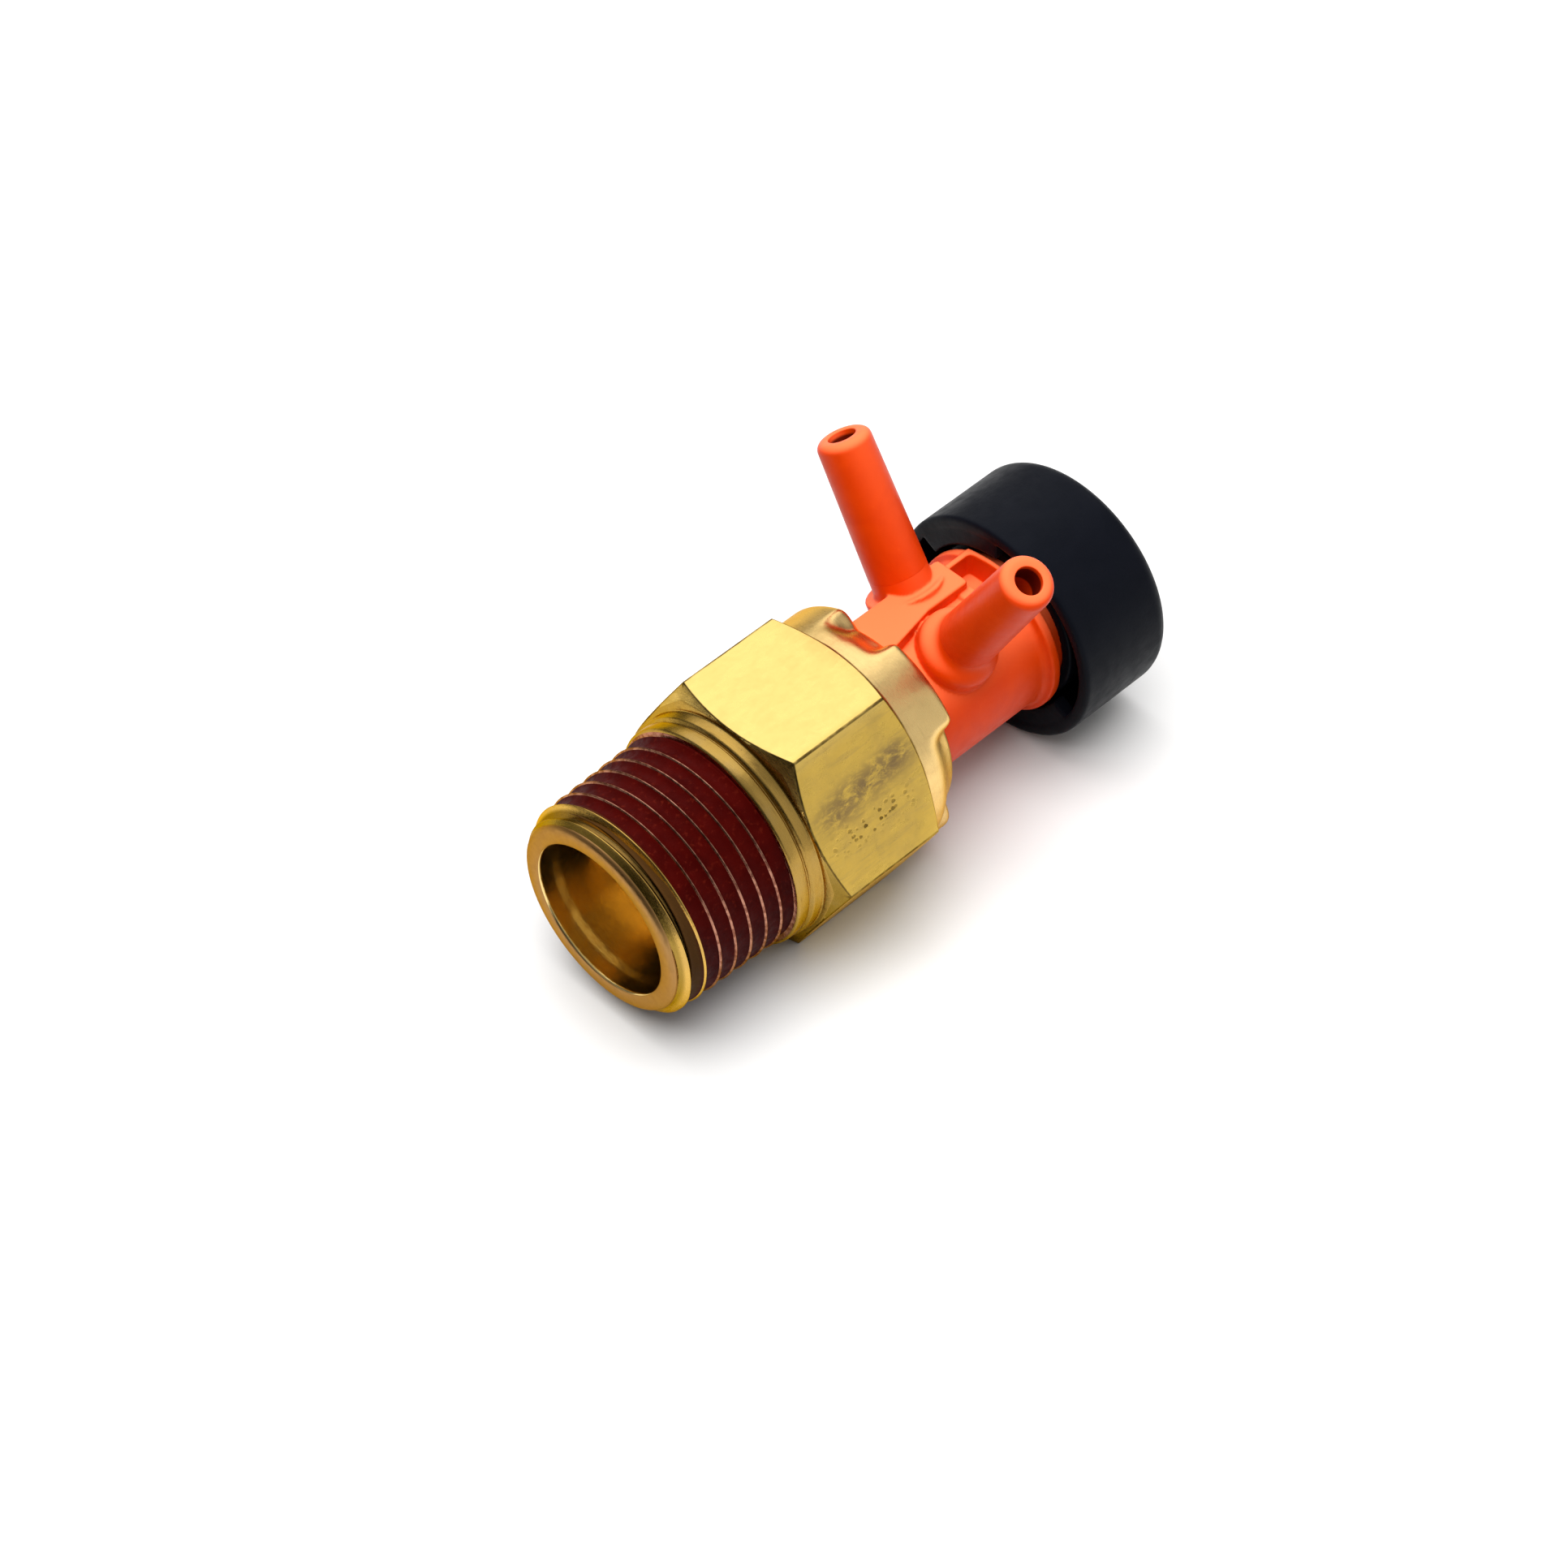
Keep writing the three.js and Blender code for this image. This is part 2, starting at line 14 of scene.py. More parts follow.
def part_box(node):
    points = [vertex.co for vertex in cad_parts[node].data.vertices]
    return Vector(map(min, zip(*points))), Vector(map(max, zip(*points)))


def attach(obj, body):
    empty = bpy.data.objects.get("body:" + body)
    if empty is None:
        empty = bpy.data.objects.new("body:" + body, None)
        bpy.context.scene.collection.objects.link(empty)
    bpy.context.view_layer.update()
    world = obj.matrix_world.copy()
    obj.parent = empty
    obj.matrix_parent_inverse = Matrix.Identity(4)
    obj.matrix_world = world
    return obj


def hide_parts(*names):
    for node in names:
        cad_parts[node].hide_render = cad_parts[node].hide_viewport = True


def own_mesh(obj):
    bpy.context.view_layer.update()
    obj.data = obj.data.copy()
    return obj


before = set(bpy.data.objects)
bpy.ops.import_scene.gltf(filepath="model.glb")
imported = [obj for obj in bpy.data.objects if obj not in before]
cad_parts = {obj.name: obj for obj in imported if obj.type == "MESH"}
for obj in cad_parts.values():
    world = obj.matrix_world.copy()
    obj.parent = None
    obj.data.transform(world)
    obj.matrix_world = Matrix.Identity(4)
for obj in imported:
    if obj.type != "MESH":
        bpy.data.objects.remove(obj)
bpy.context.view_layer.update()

# ------------------------------------------------------------------ dimensions, in mm

MM = 0.001
FIT = 0.05
END_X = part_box("brass_housing")[0].x
AXIS_Z = sum(corner.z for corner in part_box("element_cup")) / 2

HEX_AF = 19.05
HEX_START, HEX_END = 12.85, 23.3
HEX_FILLET, HEX_EASE = 0.16, 0.07
CHAMFER_R = HEX_AF / 2 - 0.1
CHAMFER_SLOPE = math.tan(math.radians(30))

PITCH = 25.4 / 18
THREAD_SHIFT = 0.19
THREAD_START, THREAD_END = 0.35, 10.6
CREST_R = 8.3
TAPER = 1 / 32
CREST_HALF_FLAT = 0.03
FLANK_SLOPE = math.tan(math.radians(60))
THREAD_DEPTH = 0.85
ROWS_PER_PITCH = 24

# turned lines between thread and hexagon, as (radius, s)
NECK_LAND = (8.75, 10.62), (8.9, 10.68), (8.95, 10.8), (8.95, 11.6), (8.93, 11.66)
NECK_GROOVE = (8.78, 11.72), (8.74, 11.8), (8.78, 11.88)
NECK_SHOULDER = (9.02, 11.94), (9.08, 12.02), (9.1, 12.12), (9.1, 12.76), (9.14, 12.83)

FACE_R = 7.6
MOUTH_R, MOUTH_DEPTH = 6.15, 1.5
BORE_R = 6.0
CAVITY_START, CAVITY_R = 13.4, 7.5
COLLAR_R, COLLAR_END = 9.3, 27.4
COLLAR_ROLL, RIM_ROUND = 1.4, 0.8
ROLL_S, ROLL_R = (24.4, 27.0), (COLLAR_R - 2.6, COLLAR_R - 0.6)
COLLAR_LOBES = (34, 146, 214, 318)
LOBE_FLAT, LOBE_FOOT = 20, 29
LIP_START, LIP_R = 26.4, 6.3

SEALANT_START = 1.5
SEALANT_BELOW_CREST = 0.035
SEALANT_SAG = 0.30
SEALANT_SKIN = 0.2

CUP_BOTTOM, CUP_R, CUP_WALL = 7.4, 4.4, 0.6
CUP_FLANGE, CUP_ROUND = 0.8, 0.5
GASKET = 0.5

BODY_START, BODY_INSERT_R, BODY_INSERT_END = 17.2, 7.35, 26.3
SEAL_GROOVE = (19.9, 21.5)
BODY_R = 6.0
HUB_START, HUB_END, HUB_R = 38.7, 39.5, 6.65
SPIGOT_END, SPIGOT_R = 42.4, 5.6
GUIDE_BORE_R, GUIDE_BORE_END = 3.3, 21.4
VALVE_BORE_R = 2.6
SEAT_BORE_R, SEAT_BORE_START = 3.2, 40.5
SEAT_HOLE_R, SEAT_LENGTH, SEAT_ROUND = 0.9, 0.9, 0.12
RAIL_TOP, RAIL_Y, RAIL_S = 7.0, (-1.1, 3.0), (27.45, 36.5)
RAIL_LEAN = 0.2
KEEPER_TOP, KEEPER_Y = 6.3, (-1.6, 2.75)
POCKET_S, POCKET_Y, POCKET_FLOOR = (36.8, 39.1), (-1.1, 2.25), 4.3
NIPPLE_ANGLE = 30
NIPPLE_S = {"rear": 33.6, "front": 32.4}
NIPPLE_TIP, NIPPLE_R, NIPPLE_ROOT_R, NIPPLE_BORE_R = 19.4, 2.05, 2.25, 1.05
NIPPLE_FOOT = 9.0
TIP_ROUND = 0.62
SHADE_DEPTH, SHADE_R = 1.2, 1.55
BOSS_R = {"rear": 3.05, "front": 3.0}
BOSS_TOP = {"rear": 6.9, "front": 7.3}
BOSS_SHIFT = {"rear": 0.0, "front": -0.2}
BOSS_EDGE = {"rear": 0.12, "front": 0.8}
BOSS_FILLET = {"rear": 0.25, "front": 1.1}

CAP_START, CAP_END, CAP_R = 39.4, 48.3, 9.35
CAP_WALL, CAP_FLOOR, CAP_ROUND = 1.0, 1.2, 1.3
LAND_R, LAND_T = 6.95, 1.1
LAND_ANGLES = (60, 240)
SOCKET_R, SOCKET_WALL, SOCKET_START = 5.65, 0.9, 40.6
WINDOWS = 3
WINDOW_S, WINDOW_LENGTH, WINDOW_WIDTH = 44.3, 2.2, 4.0
FOAM_GAP, FOAM_ROUND = 0.3, 0.3

SPRING_FROM, SPRING_TO = 35.92, 40.28
SPRING_R, SPRING_WIRE, SPRING_TURNS = 1.85, 0.17, 4.5

BODY_STEP, CAP_STEP = 0.172, 0.17

# ------------------------------------------------------------------ camera

CAMERA_AT = Vector((-0.14543, -0.15435, 0.24419))
CAMERA_LOOK = Vector((0.45937, 0.48798, -0.74220))
CAMERA_ROLL = math.radians(-1.591)
CAMERA_LENS = 102.5
SENSOR = 36.0


def make_camera():
    right = CAMERA_LOOK.cross(Vector((0, 0, 1))).normalized()
    up = right.cross(CAMERA_LOOK).normalized()
    tilted_right = right * math.cos(CAMERA_ROLL) + up * math.sin(CAMERA_ROLL)
    tilted_up = up * math.cos(CAMERA_ROLL) - right * math.sin(CAMERA_ROLL)
    data = bpy.data.cameras.new("camera")
    data.lens = CAMERA_LENS
    data.sensor_width = SENSOR
    data.clip_start = 0.01
    camera = bpy.data.objects.new("camera", data)
    turn = Matrix((tilted_right, tilted_up, -CAMERA_LOOK)).transposed()
    camera.matrix_world = Matrix.Translation(CAMERA_AT) @ turn.to_4x4()
    bpy.context.scene.collection.objects.link(camera)
    bpy.context.scene.camera = camera


# ------------------------------------------------------------------ mesh helpers

def to_row(points):
    return points * MM + np.array([END_X, 0.0, AXIS_Z])


def smoothstep(value, low, high):
    t = np.clip((value - low) / (high - low), 0, 1)
    return t * t * (3 - 2 * t)


def grid_faces(rows, columns, wrap_rows, wrap_columns):
    """Quads of a grid of points that is stored row by row."""
    row = np.arange(rows if wrap_rows else rows - 1)
    column = np.arange(columns if wrap_columns else columns - 1)
    r, c = np.meshgrid(row, column, indexing="ij")
    r2, c2 = (r + 1) % rows, (c + 1) % columns
    corners = [r * columns + c, r * columns + c2, r2 * columns + c2, r2 * columns + c]
    return np.stack(corners, -1).reshape(-1, 4)


def weld(points, faces):
    """Joins points at the same place. Faces come back as lists without repeated corners."""
    key = np.round(points * 1e4).astype(np.int64)
    _, first, inverse = np.unique(key, axis=0, return_index=True, return_inverse=True)
    joined = inverse.reshape(-1)[faces]
    shifted = np.roll(joined, -1, axis=1)
    keep = joined != shifted
    kept, polygons = [], []
    for index in range(len(joined)):
        if keep[index].all():
            polygon = joined[index].tolist()
        else:
            polygon = joined[index][keep[index]].tolist()
        if len(set(polygon)) >= 3:
            kept.append(index)
            polygons.append(polygon)
    return points[first], polygons, np.array(kept)


def make_piece(name, points, polygons, looks, body, replaced, look_of=None):
    """A smooth shaded piece in the row frame that stands for CAD nodes and rides on their body."""
    mesh = bpy.data.meshes.new(name)
    mesh.from_pydata(to_row(points).tolist(), [], polygons)
    for look in looks:
        mesh.materials.append(look)
    if look_of is not None:
        mesh.polygons.foreach_set("material_index", look_of.astype(np.int32))
    work = bmesh.new()
    work.from_mesh(mesh)
    bmesh.ops.recalc_face_normals(work, faces=work.faces)
    work.to_mesh(mesh)
    work.free()
    mesh.polygons.foreach_set("use_smooth", np.ones(len(mesh.polygons), bool))
    mesh.update()
    piece = bpy.data.objects.new(name, mesh)
    bpy.context.scene.collection.objects.link(piece)
    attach(piece, body)
    if replaced:
        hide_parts(*replaced)
    return piece


def rounded(profile, radius, steps=4):
    """The closed (r, s) profile with each corner that is off the axis replaced by a short arc."""
    corners = np.array(profile, float)
    radii = np.broadcast_to(radius, len(corners))
    out = []
    for i, corner in enumerate(corners):
        before = corners[i - 1] - corner
        after = corners[(i + 1) % len(corners)] - corner
        reach = min(radii[i], 0.45 * np.linalg.norm(before), 0.45 * np.linalg.norm(after))
        if corner[0] <= 0:
            out.append(corner)
            continue
        start = corner + before / np.linalg.norm(before) * reach
        end = corner + after / np.linalg.norm(after) * reach
        for t in np.linspace(0, 1, steps):
            out.append((1 - t) ** 2 * start + 2 * t * (1 - t) * corner + t * t * end)
    return np.array(out)


def turned_piece(name, profile, radius, looks, body, replaced, columns=96):
    """A turned piece from a closed (r, s) profile, with its edges rounded."""
    line = rounded(profile, radius)
    angle = np.linspace(0, 2 * np.pi, columns, endpoint=False)
    r, s = line[:, 0][:, None], line[:, 1][:, None]
    points = np.stack([s + 0 * angle, r * np.cos(angle), r * np.sin(angle)], -1).reshape(-1, 3)
    points, polygons, _ = weld(points, grid_faces(len(line), columns, True, True))
    return make_piece(name, points, polygons, looks, body, replaced)


def iso_mesh(distance, low, high, step):
    """Quads on the surface where distance(s, y, z) is zero, one point to each cell it crosses."""
    axes = [np.arange(a, b + step, step) for a, b in zip(low, high)]
    s, y, z = np.meshgrid(*axes, indexing="ij", sparse=True)
    field = distance(s, y, z)
    cells = np.array(field.shape) - 1
    found, places, edges = [], [], []
    for axis in range(3):
        ahead = np.moveaxis(field, axis, 0)
        a, b = ahead[:-1], ahead[1:]
        hit = np.argwhere((a < 0) != (b < 0))
        value_a = a[tuple(hit.T)]
        value_b = b[tuple(hit.T)]
        order = [axis] + [k for k in range(3) if k != axis]
        node = np.empty_like(hit)
        for column, k in enumerate(order):
            node[:, k] = hit[:, column]
        place = node.astype(float)
        place[:, axis] += value_a / (value_a - value_b)
        u, v = order[1:]
        inner = np.all((node[:, [u, v]] > 0) & (node[:, [u, v]] < cells[[u, v]]), axis=1)
        node, place, falls = node[inner], place[inner], (value_a < 0)[inner]
        around = []
        for du, dv in ((-1, -1), (0, -1), (0, 0), (-1, 0)):
            cell = node.copy()
            cell[:, u] += du
            cell[:, v] += dv
            around.append(np.ravel_multi_index(cell.T, cells))
        quad = np.stack(around, -1)
        if axis == 1:
            falls = ~falls
        quad[~falls] = quad[~falls][:, ::-1]
        edges.append(quad)
        found.append(quad.reshape(-1))
        places.append(np.repeat(place, 4, axis=0))
    _, inverse = np.unique(np.concatenate(found), return_inverse=True)
    places = np.concatenate(places)
    count = np.bincount(inverse)
    points = np.stack([np.bincount(inverse, places[:, k]) / count for k in range(3)], -1)
    points = points * step + np.array(low)
    return settle(distance, points), inverse.reshape(-1, 4)


def settle(distance, points, rounds=4, reach=0.01):
    """Moves points onto the surface along the slope of the distance."""
    for _ in range(rounds):
        here = distance(*points.T)
        slope = np.empty_like(points)
        for k in range(3):
            ahead, behind = points.copy(), points.copy()
            ahead[:, k] += reach
            behind[:, k] -= reach
            slope[:, k] = (distance(*ahead.T) - distance(*behind.T)) / (2 * reach)
        square = np.maximum((slope ** 2).sum(1), 0.2)
        points = points - (here / square)[:, None] * slope
    return points


# ------------------------------------------------------------------ distance fields

def tube(rho, s, radius, start, end, edge):
    """Distance to a cylinder round an axis, with rounded edges."""
    over_r = rho - (radius - edge)
    over_s = np.abs(s - (start + end) / 2) - ((end - start) / 2 - edge)
    outside = np.hypot(np.maximum(over_r, 0), np.maximum(over_s, 0))
    return np.minimum(np.maximum(over_r, over_s), 0) + outside - edge


def box3(a, b, c, half, edge):
    """Distance to a box with rounded edges, from offsets to its centre."""
    qa, qb, qc = (np.abs(v) - (h - edge) for v, h in zip((a, b, c), half))
    outside = np.sqrt(np.maximum(qa, 0) ** 2 + np.maximum(qb, 0) ** 2 + np.maximum(qc, 0) ** 2)
    return np.minimum(np.maximum(qa, np.maximum(qb, qc)), 0) + outside - edge


def join(a, b, fillet):
    """Union with a fillet."""
    h = np.clip(0.5 + 0.5 * (b - a) / fillet, 0, 1)
    return b + (a - b) * h - fillet * h * (1 - h)


def cut(a, b, fillet):
    """a without b, with the edge eased."""
    return -join(-a, b, fillet)


def meet(a, b, edge):
    """Where a and b overlap, with the edge eased."""
    return -join(-a, -b, edge)


# ------------------------------------------------------------------ brass housing

def thread_phase(s, angle):
    """Distance along the axis to the nearest crest, in mm."""
    turns = (s - THREAD_SHIFT) / PITCH - angle / (2 * np.pi)
    return np.abs(turns - np.round(turns)) * PITCH


def crest_radius(s):
    return CREST_R + TAPER * s


def thread_radius(s, angle):
    fall = np.maximum(thread_phase(s, angle) - CREST_HALF_FLAT, 0) * FLANK_SLOPE
    cut_r = crest_radius(s) - np.minimum(fall, THREAD_DEPTH)
    cut_r = np.minimum(cut_r, FACE_R + np.maximum(s - THREAD_START, 0))
    runout = smoothstep(s, THREAD_END - 0.7, THREAD_END)
    return cut_r + (crest_radius(s) - 0.45 - cut_r) * runout


def helix_rows(start, end, angle):
    """Rows that follow the thread, held back to start..end, so that each crest is on one row."""
    step = PITCH / ROWS_PER_PITCH
    first = math.floor((start - PITCH) / step)
    last = math.ceil(end / step)
    lead = PITCH * angle / (2 * np.pi) + THREAD_SHIFT
    return [np.clip(i * step + lead, start, end) for i in range(first, last + 1)]


def hex_radius(angle):
    """Radius of the hexagon at an angle, with a small fillet on its corners."""
    apart = np.abs(angle - np.round(angle / (np.pi / 3)) * (np.pi / 3))
    corner_r = HEX_AF / math.sqrt(3)
    flat = HEX_AF / 2 / np.cos(np.pi / 6 - apart)
    middle = corner_r - HEX_FILLET / math.cos(math.pi / 6)
    inside = HEX_FILLET ** 2 - (middle * np.sin(apart)) ** 2
    arc = middle * np.cos(apart) + np.sqrt(np.maximum(inside, 0))
    tangent = math.atan2(HEX_FILLET / 2, middle + HEX_FILLET * math.cos(math.pi / 6))
    return np.where(apart < tangent, arc, flat)


def housing_angles():
    """Angles from +Y towards +Z, closer together at the corners of the hexagon."""
    near = [0, 0.15, 0.3, 0.45, 0.7, 1.1]
    between = np.linspace(1.8, 58.2, 37).tolist()
    sextant = near + between + [60 - a for a in near[:0:-1]]
    return np.radians(np.array([60 * k + a for k in range(6) for a in sextant] + [360]))


def lobe_height(angle):
    """1 where the collar stands proud, 0 where its edge is rolled in."""
    from_top = np.degrees(angle) - 90
    apart = [np.abs((from_top - lobe + 180) % 360 - 180) for lobe in COLLAR_LOBES]
    return 1 - smoothstep(np.min(apart, axis=0), LOBE_FLAT, LOBE_FOOT)


def collar_row(r, s, angle):
    roll = (1 - lobe_height(angle)) * smoothstep(s, *ROLL_S)
    outer = smoothstep(r, *ROLL_R)
    return r - COLLAR_ROLL * roll * outer, s + 0 * angle


def housing_rows(angle):
    """Every row of the housing's closed skin as (r, s, look), from the mouth outwards and back."""
    rows = []

    def plain(look, *pairs):
        for r, s in pairs:
            rows.append((r + 0 * angle, s + 0 * angle, look))

    plain("bore", (MOUTH_R, 0.3), (MOUTH_R, 0.2))
    plain("face", (MOUTH_R + 0.06, 0.06), (MOUTH_R + 0.2, 0), (FACE_R - 0.62, 0),
          (FACE_R - 0.4, 0.02), (FACE_R - 0.2, 0.08), (FACE_R - 0.07, 0.18), (FACE_R, 0.33))
    for s in helix_rows(THREAD_START, THREAD_END, angle):
        rows.append((thread_radius(s, angle), s, "thread"))
    plain("neck", *NECK_LAND, *NECK_GROOVE, *NECK_SHOULDER,
          (9.22, HEX_START), (CHAMFER_R, HEX_START))
    hexagon = hex_radius(angle)
    front = HEX_START + (hexagon - CHAMFER_R) * CHAMFER_SLOPE
    rear = HEX_END - (hexagon - CHAMFER_R) * CHAMFER_SLOPE
    ease = HEX_EASE
    for share in (0.3, 0.65):
        between = HEX_START + (front - HEX_START) * share
        rows.append((CHAMFER_R + (hexagon - CHAMFER_R) * share, between, "chamfer"))
    for back, down in ((-ease, ease / CHAMFER_SLOPE), (-0.02, 0.055), (0.03, 0.012), (0.1, 0)):
        rows.append((hexagon - down, front + back, "chamfer" if back < 0 else "flat"))
    for share in (0.15, 0.35, 0.5, 0.65, 0.85):
        rows.append((hexagon, front + (rear - front) * share, "flat"))
    for back, down in ((0.1, 0), (0.03, 0.012), (-0.02, 0.055), (-ease, ease / CHAMFER_SLOPE)):
        rows.append((hexagon - down, rear - back, "flat"))
    rows.append((CHAMFER_R + (hexagon - CHAMFER_R) * 0.4, HEX_END + (rear - HEX_END) * 0.4, "flat"))
    plain("collar", (CHAMFER_R, HEX_END), (COLLAR_R, HEX_END + 0.03))
    for s in np.linspace(HEX_END + 0.2, COLLAR_END - RIM_ROUND, 11):
        rows.append((*collar_row(COLLAR_R + 0 * angle, s, angle), "collar"))
    for t in np.radians(np.linspace(12, 90, 9)):
        r = COLLAR_R - RIM_ROUND * (1 - math.cos(t))
        s = COLLAR_END - RIM_ROUND * (1 - math.sin(t))
        rows.append((*collar_row(r + 0 * angle, s, angle), "collar"))
    for r in (8.1, 7.7, 7.3, 6.9, LIP_R + 0.3):
        rows.append((*collar_row(r + 0 * angle, COLLAR_END, angle), "collar"))
    plain("collar", (LIP_R + 0.08, COLLAR_END - 0.08))
    plain("bore", (LIP_R, COLLAR_END - 0.3), (LIP_R, LIP_START), (CAVITY_R, LIP_START),
          (CAVITY_R, CAVITY_START), (BORE_R, CAVITY_START), (BORE_R, 8), (BORE_R, 5),
          (BORE_R, MOUTH_DEPTH + 0.6), (BORE_R + 0.03, MOUTH_DEPTH + 0.3),
          (MOUTH_R - 0.03, MOUTH_DEPTH - 0.1), (MOUTH_R, MOUTH_DEPTH - 0.4), (MOUTH_R, 0.8))
    return rows


def edge_share(points):
    """1 on the worn edges of the hexagon and where the collar leaves it, 0 elsewhere."""
    s, y, z = points.T
    angle = np.arctan2(z, y)
    r = np.hypot(y, z)
    reach = (hex_radius(angle) - CHAMFER_R) * CHAMFER_SLOPE
    front, rear = HEX_START + reach, HEX_END - reach
    on_front = (np.abs(s - front - 0.005) < 0.04) & (r > CHAMFER_R + 0.02)
    on_rear = (np.abs(s - rear + 0.005) < 0.04) & (r > CHAMFER_R + 0.02)
    off_corner = np.degrees(np.abs(angle - np.round(angle / (np.pi / 3)) * (np.pi / 3)))
    on_corner = (off_corner < 0.5) & (s > front - 0.08) & (s < rear + 0.08)
    on_root = (r > CHAMFER_R - 0.3) & (r < COLLAR_R + 0.02) & (np.abs(s - HEX_END - 0.02) < 0.03)
    on_back = (s > rear - 0.045) & (s < HEX_END + 0.01) & (r > COLLAR_R + 0.01)
    return (on_front | on_rear | on_corner | on_root | on_back).astype(np.float32)


def make_housing(looks):
    names = list(looks)
    angle = housing_angles()
    rows = housing_rows(angle)
    r = np.array([row[0] for row in rows])
    s = np.array([row[1] for row in rows])
    points = np.stack([s, r * np.cos(angle), r * np.sin(angle)], -1).reshape(-1, 3)
    faces = grid_faces(len(rows), len(angle), True, False)
    points, polygons, kept = weld(points, faces)
    of_row = np.array([names.index(row[2]) for row in rows])
    look_of = np.repeat(of_row, len(angle) - 1)[kept]
    piece = make_piece("housing_shell", points, polygons, [looks[n] for n in names],
                       "housing", ["brass_housing"], look_of)
    edge = piece.data.attributes.new("edge", "FLOAT", "POINT")
    edge.data.foreach_set("value", edge_share(points))
    return piece


# ------------------------------------------------------------------ thread sealant

def sealant_radius(s, angle):
    """Dried sealant sags between the crests and leaves a thin line of brass bare on each."""
    share = thread_phase(s, angle) / PITCH
    sag = SEALANT_SAG * np.sin(np.pi * share) ** 0.8
    lumps = 0.018 * np.sin(7 * angle + 2.1 * s) + 0.012 * np.sin(17 * angle - 3.3 * s)
    ends = smoothstep(s, SEALANT_START, SEALANT_START + 0.7)
    thin = (1 - ends) * 0.25
    return crest_radius(s) - SEALANT_BELOW_CREST - sag + lumps * (share > 0.1) - thin


def make_sealant(look):
    angle = np.radians(np.linspace(0, 360, 241))
    outer = helix_rows(SEALANT_START, THREAD_END, angle)
    rows = [(sealant_radius(s, angle), s) for s in outer]
    rows += [(sealant_radius(s, angle) - SEALANT_SKIN, s) for s in outer[::-1]]
    r = np.array([row[0] for row in rows])
    s = np.array([row[1] for row in rows])
    points = np.stack([s, r * np.cos(angle), r * np.sin(angle)], -1).reshape(-1, 3)
    points, polygons, _ = weld(points, grid_faces(len(rows), len(angle), True, False))
    return make_piece("sealant_skin", points, polygons, [look], "housing",
                      ["thread_sealant"])


# ------------------------------------------------------------------ valve body

def lean(y, z, side):
    """Offsets across and along a nipple's own line, for the side it leans to."""
    tilt = math.radians(NIPPLE_ANGLE) * (1 if side == "rear" else -1)
    across = y * math.cos(tilt) - z * math.sin(tilt)
    along = y * math.sin(tilt) + z * math.cos(tilt)
    return across, along


def nipple_radius(along):
    share = np.clip((along - 7.0) / (NIPPLE_TIP - 7.0), 0, 1)
    return NIPPLE_ROOT_R + (NIPPLE_R - NIPPLE_ROOT_R) * share


def slab(value, low, high):
    return np.abs(value - (low + high) / 2) - (high - low) / 2


def rail_distance(s, y, z):
    """The flat-topped rail. Its near side leans in a little towards the cap."""
    corner = 0.25
    middle_s, half_s = sum(RAIL_S) / 2, (RAIL_S[1] - RAIL_S[0]) / 2
    near_y = RAIL_Y[0] + RAIL_LEAN * np.clip(s - RAIL_S[0], 0, 5)
    plan_s = np.abs(s - middle_s) - (half_s - corner)
    plan_y = np.abs(y - (near_y + RAIL_Y[1]) / 2) - ((RAIL_Y[1] - near_y) / 2 - corner)
    plan = (np.minimum(np.maximum(plan_s, plan_y), 0)
            + np.hypot(np.maximum(plan_s, 0), np.maximum(plan_y, 0)) - corner)
    return meet(plan, slab(z, 0, RAIL_TOP), 0.12)


def body_distance(s, y, z):
    rho = np.hypot(y, z)
    solid = tube(rho, s, BODY_R, BODY_START, HUB_END, 0.1)
    for start, end in ((BODY_START, SEAL_GROOVE[0]), (SEAL_GROOVE[1], BODY_INSERT_END)):
        solid = np.minimum(solid, tube(rho, s, BODY_INSERT_R, start, end, 0.12))
    solid = join(solid, tube(rho, s, HUB_R, HUB_START, HUB_END, 0.15), 0.7)
    keeper = meet(slab(s, RAIL_S[1] - 1, HUB_END), slab(y, *KEEPER_Y), 0.1)
    keeper = meet(keeper, slab(z, 0, KEEPER_TOP), 0.25)
    solid = join(solid, keeper, 0.3)
    solid = np.minimum(solid, tube(rho, s, SPIGOT_R, HUB_END - 0.3, SPIGOT_END, 0.25))
    solid = join(solid, rail_distance(s, y, z), 0.14)
    for side, centre in NIPPLE_S.items():
        across, along = lean(y, z, side)
        off = np.hypot(across, s - centre)
        off_boss = np.hypot(across, s - centre - BOSS_SHIFT[side])
        boss = tube(off_boss, along, BOSS_R[side], 2.0, BOSS_TOP[side], BOSS_EDGE[side])
        tapered = off + NIPPLE_R - nipple_radius(along)
        nipple = tube(tapered, along, NIPPLE_R, 3.5, NIPPLE_FOOT, 0.02)
        solid = join(solid, join(boss, nipple, BOSS_FILLET[side]), 0.12)
    pocket = meet(slab(s, *POCKET_S), slab(y, *POCKET_Y), 0.4)
    pocket = meet(pocket, slab(z, POCKET_FLOOR, RAIL_TOP + 6), 0.1)
    solid = cut(solid, pocket, 0.12)
    for side, centre in NIPPLE_S.items():
        across, along = lean(y, z, side)
        off = np.hypot(across, s - centre)
        solid = cut(solid, tube(off, along, NIPPLE_BORE_R + 0.08, 6.0, NIPPLE_TIP, 0.1), 0.05)
    solid = cut(solid, tube(rho, s, GUIDE_BORE_R, BODY_START - 3, GUIDE_BORE_END, 0.1), 0.05)
    solid = cut(solid, tube(rho, s, VALVE_BORE_R, BODY_START, SPIGOT_END + 3, 0.1), 0.05)
    return cut(solid, tube(rho, s, SEAT_BORE_R, SEAT_BORE_START, SPIGOT_END + 3, 0.1), 0.05)


